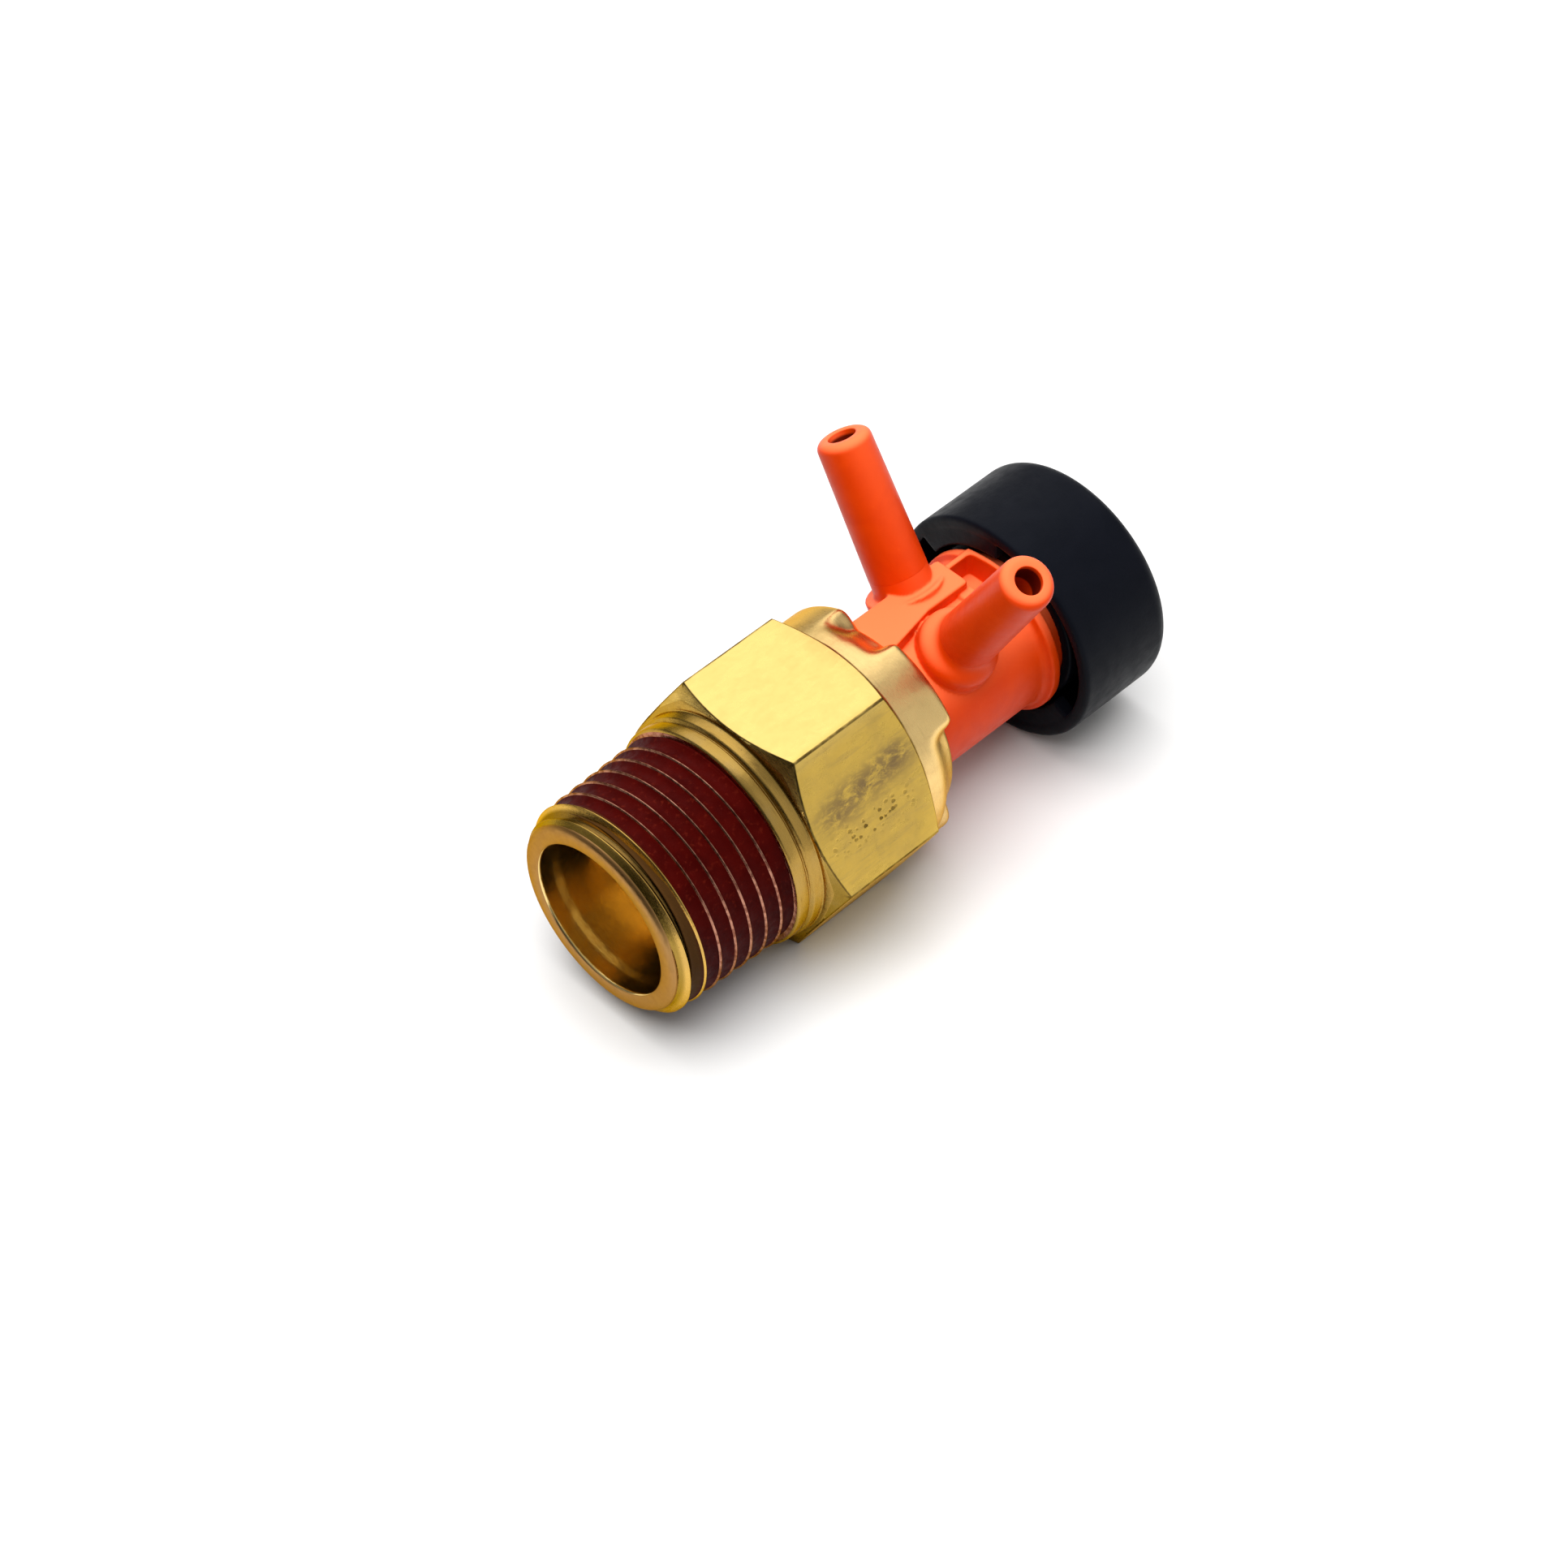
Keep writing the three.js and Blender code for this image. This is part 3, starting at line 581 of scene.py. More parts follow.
def nipple_skin(side, columns=96):
    """The long part of a nipple, turned; its foot stands inside the rest of the body."""
    foot = NIPPLE_FOOT - 0.8
    bend = np.linspace(0, math.pi / 2, 7)
    tip = [(NIPPLE_R - TIP_ROUND * (1 - math.cos(t)), NIPPLE_TIP - TIP_ROUND * (1 - math.sin(t)))
           for t in bend]
    line = rounded([(NIPPLE_BORE_R, foot), (nipple_radius(foot) + 0.012, foot), *tip,
                    (NIPPLE_BORE_R, NIPPLE_TIP)], 0.1)
    turn = np.linspace(0, 2 * np.pi, columns, endpoint=False)
    r, along = line[:, 0][:, None], line[:, 1][:, None] + 0 * turn
    across = r * np.sin(turn)
    tilt = math.radians(NIPPLE_ANGLE) * (1 if side == "rear" else -1)
    y = across * math.cos(tilt) + along * math.sin(tilt)
    z = along * math.cos(tilt) - across * math.sin(tilt)
    points = np.stack([NIPPLE_S[side] + r * np.cos(turn), y, z], -1).reshape(-1, 3)
    return points, grid_faces(len(line), columns, True, True)


def make_valve_body(look):
    reach = BODY_INSERT_R + 0.5
    foot = math.radians(NIPPLE_ANGLE)
    top = NIPPLE_FOOT * math.cos(foot) + NIPPLE_ROOT_R * math.sin(foot) + 0.5
    points, faces = iso_mesh(body_distance, (BODY_START - 0.5, -reach, -reach),
                             (SPIGOT_END + 0.5, reach, top), BODY_STEP)
    for side in NIPPLE_S:
        more_points, more_faces = nipple_skin(side)
        faces = np.concatenate([faces, more_faces + len(points)])
        points = np.concatenate([points, more_points])
    return make_piece("valve_body_shell", points, faces.tolist(), [look], "housing",
                      ["valve_body"])


# ------------------------------------------------------------------ vent cap

def cap_distance(s, y, z):
    rho = np.hypot(y, z)
    shell = tube(rho, s, CAP_R, CAP_START, CAP_END, 0.3)
    dome = tube(rho, s, CAP_R, CAP_START - 5, CAP_END, CAP_ROUND)
    solid = np.maximum(shell, dome)
    floor = CAP_END - CAP_FLOOR
    solid = cut(solid, tube(rho, s, CAP_R - CAP_WALL, CAP_START - 4, floor, 0.6), 0.25)
    post = tube(rho, s, SOCKET_R + SOCKET_WALL, SOCKET_START, floor + 0.4, 0.15)
    post = cut(post, tube(rho, s, SOCKET_R, SOCKET_START - 2, floor, 0.1), 0.1)
    angle = np.arctan2(z, y)
    for k in range(WINDOWS):
        turn = math.pi / 2 - k * 2 * math.pi / WINDOWS
        out = y * math.cos(turn) + z * math.sin(turn)
        over = z * math.cos(turn) - y * math.sin(turn)
        half = (WINDOW_LENGTH / 2, WINDOW_WIDTH / 2, 1.5 * SOCKET_WALL)
        post = cut(post, box3(s - WINDOW_S, over, out - SOCKET_R, half, 0.2), 0.05)
    solid = join(solid, post, 0.2)
    for middle in np.radians(LAND_ANGLES):
        apart = np.abs((angle - middle + math.pi) % (2 * math.pi) - math.pi)
        wedge = (apart - math.pi / 6) * rho
        ring_middle = (LAND_R + CAP_R - 0.5) / 2
        ring = np.abs(rho - ring_middle) - (CAP_R - 0.5 - LAND_R) / 2
        depth = np.abs(s - CAP_START - LAND_T / 2 - FIT) - LAND_T / 2
        land = meet(meet(ring, depth, 0.15), wedge, 0.15)
        solid = np.minimum(solid, land)
    return solid


def make_cap(look):
    reach = CAP_R + 0.4
    low, high = (CAP_START - 0.4, -reach, -reach), (CAP_END + 0.4, reach, reach)
    points, faces = iso_mesh(cap_distance, low, high, CAP_STEP)
    return make_piece("vent_cap_shell", points, faces.tolist(), [look], "cap",
                      ["vent_cap"])


# ------------------------------------------------------------------ materials

class Shader:
    """A node material with one Principled shader. Textures run in millimetres of the object."""

    def __init__(self, name, base, roughness, metallic=0.0, **sockets):
        self.material = bpy.data.materials.new(name)
        self.material.use_nodes = True
        self.tree = self.material.node_tree
        self.shader = self.tree.nodes["Principled BSDF"]
        self.shader.inputs["Base Color"].default_value = (*base, 1)
        self.shader.inputs["Roughness"].default_value = roughness
        self.shader.inputs["Metallic"].default_value = metallic
        for key, value in sockets.items():
            self.shader.inputs[key.replace("_", " ")].default_value = value
        self.place = self.node("ShaderNodeTexCoord")
        scale = self.node("ShaderNodeMapping", Scale=(1 / MM, 1 / MM, 1 / MM))
        scale.inputs["Location"].default_value = (-END_X / MM, 0, -AXIS_Z / MM)
        self.link(self.place.outputs["Object"], scale.inputs["Vector"])
        self.mm = scale.outputs["Vector"]
        self.height = None

    def node(self, kind, **inputs):
        made = self.tree.nodes.new(kind)
        for key, value in inputs.items():
            made.inputs[key.replace("_", " ")].default_value = value
        return made

    def link(self, start, end):
        self.tree.links.new(start, end)

    def math(self, operation, a, b=0.0, clamp=False):
        made = self.node("ShaderNodeMath")
        made.operation = operation
        made.use_clamp = clamp
        for socket, value in zip(made.inputs, (a, b)):
            if isinstance(value, (int, float)):
                socket.default_value = value
            else:
                self.link(value, socket)
        return made.outputs[0]

    def stretched(self, scale):
        made = self.node("ShaderNodeMapping", Scale=scale)
        self.link(self.mm, made.inputs["Vector"])
        return made.outputs["Vector"]

    def noise(self, scale, detail=4.0, roughness=0.55, distortion=0.0, along=(1, 1, 1)):
        made = self.node("ShaderNodeTexNoise", Scale=scale, Detail=detail, Roughness=roughness,
                         Distortion=distortion)
        self.link(self.stretched(along), made.inputs["Vector"])
        return made.outputs["Fac"]

    def cells(self, scale, along=(1, 1, 1)):
        made = self.node("ShaderNodeTexVoronoi", Scale=scale)
        self.link(self.stretched(along), made.inputs["Vector"])
        return made.outputs["Distance"]

    def level(self, value, low, high, out_low=0.0, out_high=1.0):
        made = self.node("ShaderNodeMapRange")
        made.interpolation_type = "SMOOTHSTEP"
        for key, number in (("From Min", low), ("From Max", high),
                            ("To Min", out_low), ("To Max", out_high)):
            made.inputs[key].default_value = number
        self.link(value, made.inputs["Value"])
        return made.outputs["Result"]

    def near(self, centre, radii):
        """1 at a place on the part, given as (s, y, z), falling to 0 at its radii."""
        shift = self.node("ShaderNodeVectorMath")
        shift.operation = "SUBTRACT"
        shift.inputs[1].default_value = centre
        self.link(self.mm, shift.inputs[0])
        shrink = self.node("ShaderNodeVectorMath")
        shrink.operation = "DIVIDE"
        shrink.inputs[1].default_value = radii
        self.link(shift.outputs[0], shrink.inputs[0])
        far = self.node("ShaderNodeVectorMath")
        far.operation = "LENGTH"
        self.link(shrink.outputs[0], far.inputs[0])
        return self.level(far.outputs["Value"], 1.0, 0.0)

    def tint(self, share, colour):
        """Mixes a colour over what the base colour is so far."""
        mix = self.node("ShaderNodeMix")
        mix.data_type = "RGBA"
        base = self.shader.inputs["Base Color"]
        if base.is_linked:
            self.link(base.links[0].from_socket, mix.inputs[6])
        else:
            mix.inputs[6].default_value = tuple(base.default_value)
        mix.inputs[7].default_value = (*colour, 1)
        self.link(share, mix.inputs[0])
        self.link(mix.outputs[2], base)

    def rough(self, value, low, high, out_low, out_high):
        self.link(self.level(value, low, high, out_low, out_high), self.shader.inputs["Roughness"])

    def bump(self, height, distance, strength=1.0):
        """Adds relief, its depth in mm."""
        made = self.node("ShaderNodeBump", Strength=strength, Distance=distance * MM)
        self.link(height, made.inputs["Height"])
        normal = self.shader.inputs["Normal"]
        if normal.is_linked:
            self.link(normal.links[0].from_socket, made.inputs["Normal"])
        self.link(made.outputs["Normal"], normal)


# ------------------------------------------------------------------ colours

BRASS = (0.84, 0.60, 0.19)
BRASS_DULL = (0.40, 0.27, 0.10)
BRASS_BROWN = (0.15, 0.085, 0.03)
BRASS_TAN = (0.40, 0.215, 0.075)
# painted shade: the deeper, darker gold of the hexagon's near side
BRASS_SIDE_SHADE = (0.70, 0.46, 0.085)
# painted shade: dark olive for the chamfer and the thread's lead-in
BRASS_OLIVE_SHADE = (0.30, 0.19, 0.035)
EDGE_LINE = (0.10, 0.062, 0.016)
GRAZING = (0.82, 0.56, 0.22, 1.0)
# painted light: gold laid on the upper part of the chamfer
CHAMFER_LIT_GOLD = (0.80, 0.55, 0.16)
COLLAR_CREAM = (0.84, 0.59, 0.24)
COLLAR_TAN = (0.50, 0.30, 0.12)
# painted shade: the brown of the crease in the rolled collar
COLLAR_FOLD_SHADE = (0.34, 0.19, 0.06)
STAIN = (0.21, 0.14, 0.075)
PIT = (0.11, 0.065, 0.015)
THREAD_GOLD = (0.68, 0.42, 0.10)
# painted shade with a trace of sealant residue, in the bare thread valleys
VALLEY_SHADE_AND_RESIDUE = (0.15, 0.085, 0.022)
BARE_CREST = (0.44, 0.20, 0.15)
WORN_CREST = (0.13, 0.03, 0.02)

MAROON = (0.041, 0.0011, 0.0006)
MAROON_THICK = (0.022, 0.0004, 0.0003)
MAROON_WORN = (0.11, 0.010, 0.004)
SEALANT_THIN = (0.060, 0.028, 0.007)

ORANGE = (0.64, 0.042, 0.001)
ORANGE_DARK = (0.56, 0.031, 0.001)
ORANGE_LIGHT = (0.72, 0.075, 0.006)
# painted light: the lighter orange laid on surfaces that face up
ORANGE_TOP_LIT = (0.98, 0.17, 0.06)
ORANGE_SHEEN = (1.0, 0.5, 0.22, 1.0)
NIPPLE_SHADE = (0.06, 0.002, 0.001)

BLACK = (0.0035, 0.004, 0.0065)
BLACK_DARK = (0.0025, 0.003, 0.005)
BLACK_SCUFF = (0.009, 0.010, 0.014)
BLACK_SHEEN = (0.85, 0.93, 1.0, 1.0)


def turned_brass(name, base=BRASS, roughness=(0.2, 0.34), dirt=0.5):
    """Machined brass: fine turning marks round the axis, soft tarnish, specks of dirt."""
    look = Shader(name, base, roughness[0], 1.0, Specular_Tint=GRAZING)
    cloud = look.noise(0.35, 5)
    look.tint(look.level(cloud, 0.45, 0.75, 0, 0.55 * dirt), BRASS_DULL)
    streak = look.noise(0.9, 4, along=(3.0, 0.5, 0.5))
    look.tint(look.level(streak, 0.58, 0.78, 0, 0.5 * dirt), BRASS_BROWN)
    look.tint(look.level(look.cells(1.3), 0.09, 0.02, 0, 0.7 * dirt), BRASS_BROWN)
    grain = look.noise(6.0, 3, along=(4.0, 0.3, 0.3))
    look.rough(grain, 0.3, 0.7, *roughness)
    look.bump(grain, 0.006)
    look.bump(look.noise(1.1, 3), 0.02)
    return look


def draw_edges(look):
    """Thin dark lines where the edges of the hexagon have worn and caught dirt."""
    edge = look.node("ShaderNodeAttribute")
    edge.attribute_name = "edge"
    broken = look.level(look.noise(0.8, 4), 0.3, 0.6, 0.45, 0.95)
    look.tint(look.math("MULTIPLY", edge.outputs["Fac"], broken), EDGE_LINE)


def flat_brass():
    """Drawn hexagon bar: lines along it, rubbed stains and pits on its near side, and that near
    side painted a deeper, darker gold as shade.
    """
    look = Shader("brass_flat", BRASS, 0.28, 1.0, Specular_Tint=GRAZING)
    place = look.node("ShaderNodeSeparateXYZ")
    look.link(look.mm, place.inputs[0])
    side = look.level(place.outputs["Y"], -4.8, -6.2)
    cloud = look.noise(0.3, 6, 0.6)
    # painted shade: the near side is painted a deeper, darker gold
    look.tint(look.math("MULTIPLY", side, 0.9), BRASS_SIDE_SHADE)
    dull = look.math("MULTIPLY", look.level(cloud, 0.42, 0.72, 0, 0.4), side)
    look.tint(dull, BRASS_DULL)
    lines = look.noise(2.2, 5, 0.65, along=(0.10, 1.0, 1.0))
    look.tint(look.math("MULTIPLY", look.level(lines, 0.50, 0.76, 0, 0.45), side), BRASS_DULL)
    smear = look.noise(1.3, 7, 0.75, distortion=0.4, along=(0.5, 1.0, 1.0))
    for centre, radii, share in (((18.6, -7.7, 5.6), (6.4, 2.0, 2.2), 0.9),
                                 ((21.4, -7.5, 6.0), (2.8, 1.6, 1.8), 0.8),
                                 ((15.4, -8.0, 5.0), (3.4, 1.8, 2.2), 0.7)):
        patch = look.math("MULTIPLY", look.near(centre, radii), look.level(smear, 0.38, 0.58))
        look.tint(look.math("MULTIPLY", patch, share), STAIN)
    pits = look.cells(2.3, along=(0.8, 1.0, 1.0))
    band = look.near((17.8, -9.1, 3.3), (6.2, 1.6, 1.5))
    scatter = look.math("MULTIPLY", look.level(look.noise(0.9, 3), 0.40, 0.52), band)
    pit = look.math("MULTIPLY", look.level(pits, 0.42, 0.24), scatter)
    look.tint(look.math("MULTIPLY", pit, 0.9), PIT)
    fine = look.math("MULTIPLY", look.level(look.cells(4.0), 0.14, 0.04), side)
    look.tint(look.math("MULTIPLY", fine, 0.25), BRASS_BROWN)
    draw_edges(look)
    look.rough(smear, 0.3, 0.7, 0.24, 0.40)
    look.bump(look.math("MULTIPLY", pit, -1), 0.05)
    look.bump(lines, 0.006)
    look.bump(look.noise(0.45, 3), 0.05)
    return look


def chamfer_brass():
    # painted shade and light: the chamfer is dark olive, painted gold towards its top
    look = turned_brass("brass_chamfer", BRASS_OLIVE_SHADE, (0.24, 0.36), 0.8)
    place = look.node("ShaderNodeSeparateXYZ")
    look.link(look.mm, place.inputs[0])
    ring = look.level(look.noise(1.2, 4, along=(2.5, 0.4, 0.4)), 0.3, 0.6, 0.95, 0.5)
    # painted light: lighter gold where the chamfer is higher up
    lit_upper = look.level(place.outputs["Z"], 1.0, 6.0)
    look.tint(look.math("MULTIPLY", lit_upper, ring), CHAMFER_LIT_GOLD)
    draw_edges(look)
    return look


def collar_brass():
    look = turned_brass("brass_collar", COLLAR_CREAM, (0.26, 0.36), 0.35)
    cloud = look.noise(0.5, 3, along=(0.5, 1.0, 1.0))
    look.tint(look.level(cloud, 0.45, 0.7, 0, 0.35), COLLAR_TAN)
    # painted shade: a brown patch in the crease of the rolled collar beside the rail
    fold_shade = look.math("MULTIPLY", look.near((25.6, 1.9, 9.1), (1.8, 1.1, 0.7)),
                     look.level(cloud, 0.2, 0.5, 0.4, 0.8))
    look.tint(fold_shade, COLLAR_FOLD_SHADE)
    draw_edges(look)
    return look


def brass_looks():
    return {
        "face": turned_brass("brass_face", BRASS_TAN, (0.34, 0.46), 0.35).material,
        "thread": thread_brass().material,
        "neck": turned_brass("brass_neck", (0.43, 0.265, 0.062), (0.2, 0.32), 1.0).material,
        "chamfer": chamfer_brass().material,
        "flat": flat_brass().material,
        "collar": collar_brass().material,
        "bore": turned_brass("brass_bore", (0.91, 0.68, 0.27), (0.12, 0.24), 0.3).material,
    }


def off_crest(look):
    """Distance along the axis to the nearest crest, in mm, as a socket."""
    place = look.node("ShaderNodeSeparateXYZ")
    look.link(look.mm, place.inputs[0])
    angle = look.math("ARCTAN2", place.outputs["Z"], place.outputs["Y"])
    turns = look.math("SUBTRACT", look.math("DIVIDE", place.outputs["X"], PITCH),
                      look.math("DIVIDE", angle, 2 * math.pi))
    turns = look.math("SUBTRACT", turns, THREAD_SHIFT / PITCH)
    return place.outputs["X"], look.math("MULTIPLY", look.math("PINGPONG", turns, 0.5), PITCH)


def thread_brass():
    """Bright on the first crests, with painted shade: olive on the lead-in before them, dark brown
    in the bare valleys, partly for sealant residue; from the sealant on, the bare lines are tinged
    with it.
    """
    look = turned_brass("brass_thread", THREAD_GOLD, (0.2, 0.32), 0.6)
    along, apart = off_crest(look)
    # painted shade: olive on the lead-in before the first crest
    before = look.level(along, 0.80, 0.55)
    look.tint(look.math("MULTIPLY", before, 0.85), BRASS_OLIVE_SHADE)
    # painted shade with a trace of sealant residue: dark brown in the bare valleys
    valley_shade_and_residue = look.math("MULTIPLY", look.level(apart, 0.12, 0.3), look.level(along, 0.9, 1.05))
    look.tint(look.math("MULTIPLY", valley_shade_and_residue, 0.85), VALLEY_SHADE_AND_RESIDUE)
    look.tint(look.level(along, 2.3, 3.2, 0, 0.92), BARE_CREST)
    worn = look.level(look.noise(2.0, 4), 0.40, 0.62, 0, 0.7)
    look.tint(look.math("MULTIPLY", look.level(along, 2.3, 3.2), worn), WORN_CREST)
    return look


def sealant_look():
    """Dried thread sealant: deep maroon, darker where thick, brownish on its thin first turn."""
    look = Shader("sealant", MAROON, 0.55, Specular_IOR_Level=0.03)
    look.tint(look.level(look.noise(0.7, 5), 0.35, 0.7, 0, 0.6), MAROON_THICK)
    look.tint(look.level(look.noise(2.5, 4), 0.55, 0.8, 0, 0.5), MAROON_WORN)
    place = look.node("ShaderNodeSeparateXYZ")
    look.link(look.mm, place.inputs[0])
    first = look.level(place.outputs["X"], 2.35, 1.9)
    look.tint(look.math("MULTIPLY", first, 0.9), SEALANT_THIN)
    look.rough(look.noise(1.8, 4), 0.3, 0.7, 0.45, 0.65)
    look.bump(look.noise(3.0, 5), 0.02)
    look.bump(look.noise(9.0, 2), 0.008)
    return look.material


def moulded_plastic(name, base, dark, light, roughness, top_lit=None, **sockets):
    """Plastic with faint flow marks, fine texture and small scuffs, and painted light: lighter
    where it faces up.
    """
    look = Shader(name, base, roughness[0], **sockets)
    flow = look.noise(0.28, 4, distortion=1.2)
    look.tint(look.level(flow, 0.35, 0.65, 0, 0.5), dark)
    scuff = look.noise(1.4, 6, 0.7, along=(1.0, 0.6, 0.6))
    look.tint(look.level(scuff, 0.6, 0.82, 0, 0.4), light)
    # painted light: surfaces facing up are painted lighter
    if top_lit:
        normal = look.node("ShaderNodeSeparateXYZ")
        look.link(look.place.outputs["Normal"], normal.inputs[0])
        look.tint(look.level(normal.outputs["Z"], 0.3, 1.0, 0, 0.9), top_lit)
    look.rough(look.noise(0.9, 5), 0.3, 0.7, *roughness)
    look.bump(look.noise(8.0, 3), 0.006)
    look.bump(look.noise(0.7, 3), 0.03)
    return look


def orange_look():
    # the orange is painted lighter where it faces up, as painted light
    look = moulded_plastic("orange_plastic", ORANGE, ORANGE_DARK, ORANGE_LIGHT, (0.34, 0.44),
                           ORANGE_TOP_LIT, Specular_IOR_Level=0.16, Specular_Tint=ORANGE_SHEEN)
    for side, centre in NIPPLE_S.items():
        tilt = math.radians(NIPPLE_ANGLE) * (1 if side == "rear" else -1)
        along = NIPPLE_TIP - SHADE_DEPTH
        deep = look.near((centre, along * math.sin(tilt), along * math.cos(tilt)), (SHADE_R,) * 3)
        look.tint(look.level(deep, 0.02, 0.1, 0, 0.95), NIPPLE_SHADE)
    return look.material


def inner_metal(name, base, roughness):
    look = Shader(name, base, roughness[0], 1.0)
    look.tint(look.level(look.noise(0.8, 4), 0.5, 0.75, 0, 0.4), tuple(0.5 * v for v in base))
    grain = look.noise(5.0, 3, along=(4.0, 0.4, 0.4))
    look.rough(grain, 0.3, 0.7, *roughness)
    look.bump(grain, 0.006)
    return look.material


def soft_black(name, base, grain_scale, depth):
    """Rubber or foam: dark, dull, with a grain of its own."""
    look = Shader(name, base, 0.8, Specular_IOR_Level=0.3)
    look.tint(look.level(look.noise(0.9, 4), 0.45, 0.75, 0, 0.6), tuple(2.2 * v for v in base))
    grain = look.cells(grain_scale)
    look.rough(grain, 0.1, 0.6, 0.62, 0.9)
    look.bump(grain, depth)
    return look.material


def wax_look():
    look = Shader("wax", (0.62, 0.50, 0.28), 0.5, Specular_IOR_Level=0.4)
    look.tint(look.level(look.cells(5.0), 0.12, 0.05, 0, 0.8), (0.45, 0.16, 0.05))
    look.rough(look.noise(1.5, 4), 0.3, 0.7, 0.42, 0.6)
    look.bump(look.noise(2.0, 4), 0.02)
    return look.material


# ------------------------------------------------------------------ light and floor

# each bright or dark spot of the world: direction, inner and outer half angle, amount
WORLD_BASE = 0.18
WORLD_SPOTS = (
    ((0.46, 0.49, 0.74), 24, 46, 1.6),
    ((0.46, -0.80, 0.36), 26, 50, 0.72),
    ((0.0, 0.1, 1.0), 15, 50, 0.35),
    ((-1.0, -0.3, -0.05), 22, 50, -0.15),
    ((-0.84, 0.52, 0.12), 12, 34, 0.35),
)
KEY_AT, KEY_TARGET = (-0.07, -0.02, 0.48), (0.004, 0, 0.01)
KEY_SIZE, KEY_POWER = 0.48, 4.3


def make_world():
    """A white room for the camera. Reflections see its bright and dark spots instead."""
    world = bpy.data.worlds.new("studio")
    bpy.context.scene.world = world
    world.use_nodes = True
    tree = world.node_tree
    tree.nodes.clear()
    direction = tree.nodes.new("ShaderNodeTexCoord").outputs["Generated"]

    def spot(toward, inner, outer, amount):
        dot = tree.nodes.new("ShaderNodeVectorMath")
        dot.operation = "DOT_PRODUCT"
        dot.inputs[1].default_value = Vector(toward).normalized()
        tree.links.new(direction, dot.inputs[0])
        level = tree.nodes.new("ShaderNodeMapRange")
        level.interpolation_type = "SMOOTHSTEP"
        level.inputs["From Min"].default_value = math.cos(math.radians(outer))
        level.inputs["From Max"].default_value = math.cos(math.radians(inner))
        level.inputs["To Max"].default_value = amount
        tree.links.new(dot.outputs["Value"], level.inputs["Value"])
        return level.outputs["Result"]

    total = None
    for lamp in WORLD_SPOTS:
        part = spot(*lamp)
        if total is not None:
            add = tree.nodes.new("ShaderNodeMath")
            add.operation = "ADD"
            tree.links.new(total, add.inputs[0])
            tree.links.new(part, add.inputs[1])
            part = add.outputs[0]
        total = part
    base = tree.nodes.new("ShaderNodeMath")
    base.operation = "ADD"
    base.inputs[1].default_value = WORLD_BASE
    tree.links.new(total, base.inputs[0])
    shade = tree.nodes.new("ShaderNodeBackground")
    tree.links.new(base.outputs[0], shade.inputs["Strength"])
    plain = tree.nodes.new("ShaderNodeBackground")
    path = tree.nodes.new("ShaderNodeLightPath")
    pick = tree.nodes.new("ShaderNodeMixShader")
    out = tree.nodes.new("ShaderNodeOutputWorld")
    tree.links.new(path.outputs["Is Camera Ray"], pick.inputs[0])
    tree.links.new(shade.outputs[0], pick.inputs[1])
    tree.links.new(plain.outputs[0], pick.inputs[2])
    tree.links.new(pick.outputs[0], out.inputs["Surface"])


def make_key_lamp():
    data = bpy.data.lights.new("key", "AREA")
    data.shape = "RECTANGLE"
    data.size = data.size_y = KEY_SIZE
    data.energy = KEY_POWER
    lamp = bpy.data.objects.new("key", data)
    lamp.visible_glossy = False
    lamp.location = KEY_AT
    aim = Vector(KEY_TARGET) - Vector(KEY_AT)
    lamp.rotation_euler = aim.to_track_quat("-Z", "Y").to_euler()
    bpy.context.scene.collection.objects.link(lamp)


def make_card():
    """A dark board beside the end face that only reflections see."""
    look = Shader("card", (0.03, 0.028, 0.025), 0.9, Specular_IOR_Level=0.0)
    look.tint(look.level(look.noise(0.02, 3), 0.3, 0.7), (0.045, 0.04, 0.036))
    mesh = bpy.data.meshes.new("card")
    near_x, far_x, low, top = -0.065, -0.25, 0.0006, 0.12
    left, right = -0.10, 0.22
    mesh.from_pydata([(near_x, left, low), (near_x, right, low), (far_x, right, low),
                      (far_x, left, low), (far_x, right, top), (far_x, left, top)],
                     [], [(0, 1, 2, 3), (3, 2, 4, 5)])
    mesh.materials.append(look.material)
    card = bpy.data.objects.new("card", mesh)
    for ray in ("camera", "diffuse", "transmission", "volume_scatter", "shadow"):
        setattr(card, "visible_" + ray, False)
    bpy.context.scene.collection.objects.link(card)


def make_floor():
    look = Shader("floor", (0.655, 0.65, 0.645), 0.6, Specular_IOR_Level=0.1)
    look.tint(look.level(look.noise(0.02, 3), 0.3, 0.7, 0, 0.3), (0.67, 0.665, 0.66))
    mesh = bpy.data.meshes.new("floor")
    reach = 1.5
    corners = [(-reach, -reach, 0), (reach, -reach, 0), (reach, reach, 0), (-reach, reach, 0)]
    mesh.from_pydata(corners, [], [(0, 1, 2, 3)])
    mesh.materials.append(look.material)
    floor = bpy.data.objects.new("floor", mesh)
    bpy.context.scene.collection.objects.link(floor)


# ------------------------------------------------------------------ everything together

def repaint(node, material):
    """Gives a CAD node that stays its own look."""
    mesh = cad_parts[node].data
    mesh.materials.clear()
    mesh.materials.append(material)


def make_spring(look):
    """The return spring, a coil of round wire, on a mesh of its own."""
    turn = np.linspace(0, 2 * np.pi * SPRING_TURNS, round(SPRING_TURNS * 48) + 1)[:, None]
    section = np.linspace(0, 2 * np.pi, 16, endpoint=False)
    r = SPRING_R + SPRING_WIRE * np.cos(section)
    s = SPRING_FROM + (SPRING_TO - SPRING_FROM) * turn / turn[-1] + SPRING_WIRE * np.sin(section)
    points = np.stack([s, r * np.cos(turn), r * np.sin(turn)], -1).reshape(-1, 3)
    polygons = grid_faces(len(turn), len(section), False, True).tolist()
    polygons += [list(range(len(section))), list(range(len(points) - len(section), len(points)))]
    spring = make_piece("return_spring_coil", points, polygons, [look], "housing",
                        ["return_spring"])
    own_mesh(spring)


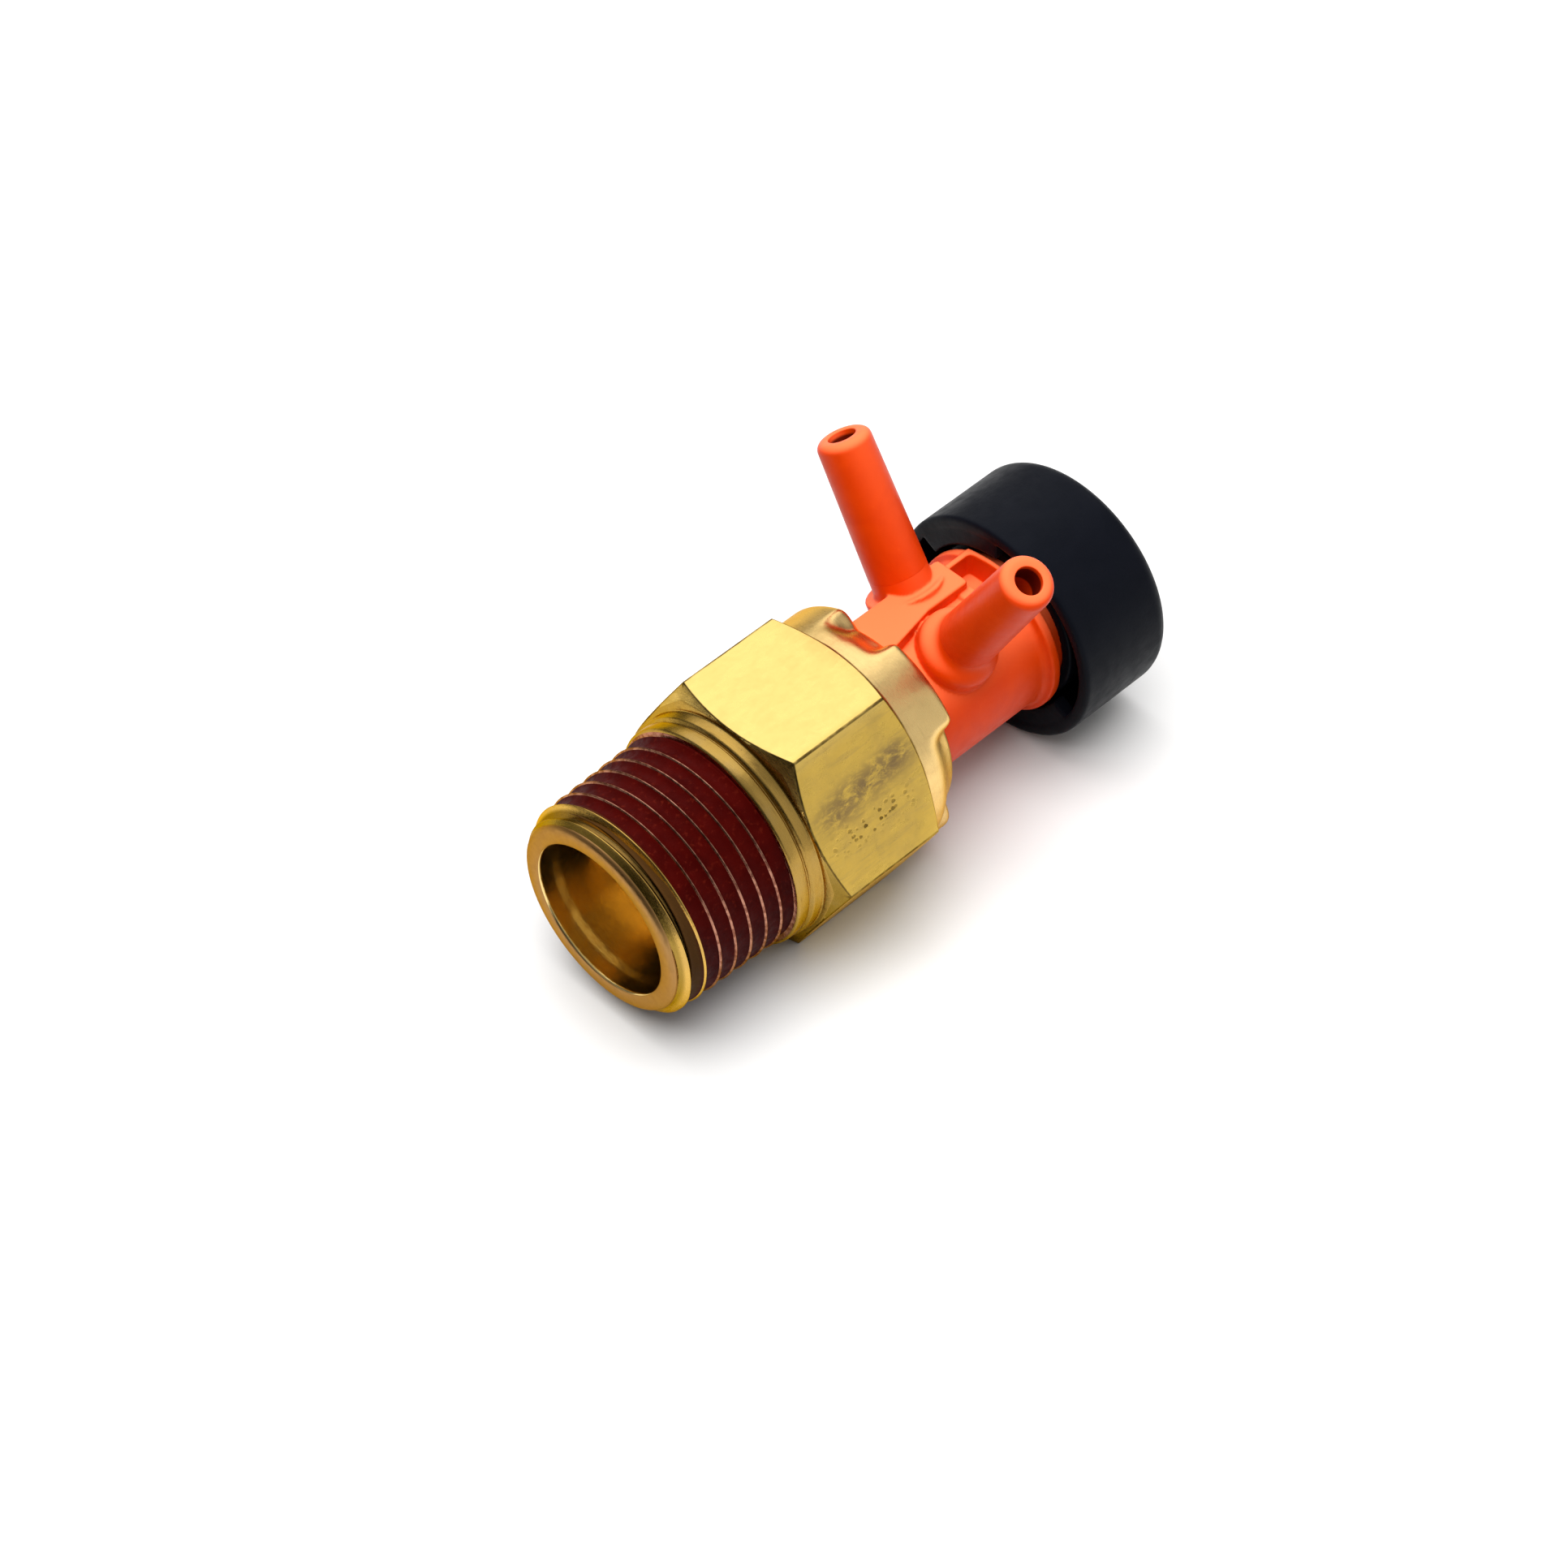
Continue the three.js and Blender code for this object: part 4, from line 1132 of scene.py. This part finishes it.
def make_inside():
    """The pieces inside keep their CAD shape, apart from the spring and what a pose can show."""
    rubber = soft_black("rubber", (0.022, 0.022, 0.023), 6.0, 0.015)
    steel = inner_metal("steel", (0.60, 0.61, 0.62), (0.2, 0.35))
    brass = inner_metal("inner_brass", BRASS, (0.2, 0.32))
    white = moulded_plastic("white_plastic", (0.78, 0.77, 0.72), (0.7, 0.68, 0.6),
                            (0.85, 0.85, 0.83), (0.35, 0.5)).material
    natural = moulded_plastic("natural_plastic", (0.68, 0.62, 0.48), (0.6, 0.53, 0.4),
                              (0.75, 0.71, 0.6), (0.35, 0.5)).material
    for node in ("element_gasket", "element_diaphragm", "force_plug", "body_seal_ring",
                 "spool_ring_1", "spool_ring_2"):
        repaint(node, rubber)
    for node in ("preload_washer", "piston_pin"):
        repaint(node, steel)
    make_spring(steel)
    repaint("element_guide", brass)
    repaint("wax_pellet", wax_look())
    repaint("backup_disc", white)
    repaint("valve_spool", natural)
    copper = turned_brass("cup_brass", (0.80, 0.56, 0.20), (0.2, 0.34), 0.4).material
    flange = CAVITY_START + FIT + GASKET + FIT
    turned_piece("element_cup_drawn", [
        (0, CUP_BOTTOM), (CUP_R, CUP_BOTTOM), (CUP_R, flange), (BODY_INSERT_R, flange),
        (BODY_INSERT_R, flange + CUP_FLANGE), (CUP_R - CUP_WALL, flange + CUP_FLANGE),
        (CUP_R - CUP_WALL, CUP_BOTTOM + CUP_WALL), (0, CUP_BOTTOM + CUP_WALL),
    ], CUP_ROUND, [copper], "housing", ["element_cup"])
    turned_piece("spring_seat_turned", [
        (SEAT_HOLE_R, SEAT_BORE_START + FIT), (SEAT_BORE_R - FIT, SEAT_BORE_START + FIT),
        (SEAT_BORE_R - FIT, SEAT_BORE_START + SEAT_LENGTH),
        (SEAT_HOLE_R, SEAT_BORE_START + SEAT_LENGTH),
    ], SEAT_ROUND, [brass], "housing", ["spring_seat"], 64)
    foam = soft_black("foam", (0.05, 0.05, 0.052), 2.6, 0.25)
    foam_r, foam_end = SOCKET_R - 0.1, CAP_END - CAP_FLOOR - FOAM_GAP
    turned_piece("foam_filter_disc", [
        (0, SPIGOT_END + FOAM_GAP), (foam_r, SPIGOT_END + FOAM_GAP),
        (foam_r, foam_end), (0, foam_end),
    ], FOAM_ROUND, [foam], "cap", ["foam_filter"], 64)


bpy.context.scene.view_settings.view_transform = "Standard"
make_camera()
make_world()
make_floor()
make_card()
make_key_lamp()
make_housing(brass_looks())
make_sealant(sealant_look())
make_valve_body(orange_look())
make_cap(moulded_plastic("black_plastic", BLACK, BLACK_DARK, BLACK_SCUFF, (0.36, 0.48),
                         Specular_IOR_Level=0.05, Specular_Tint=BLACK_SHEEN).material)
make_inside()
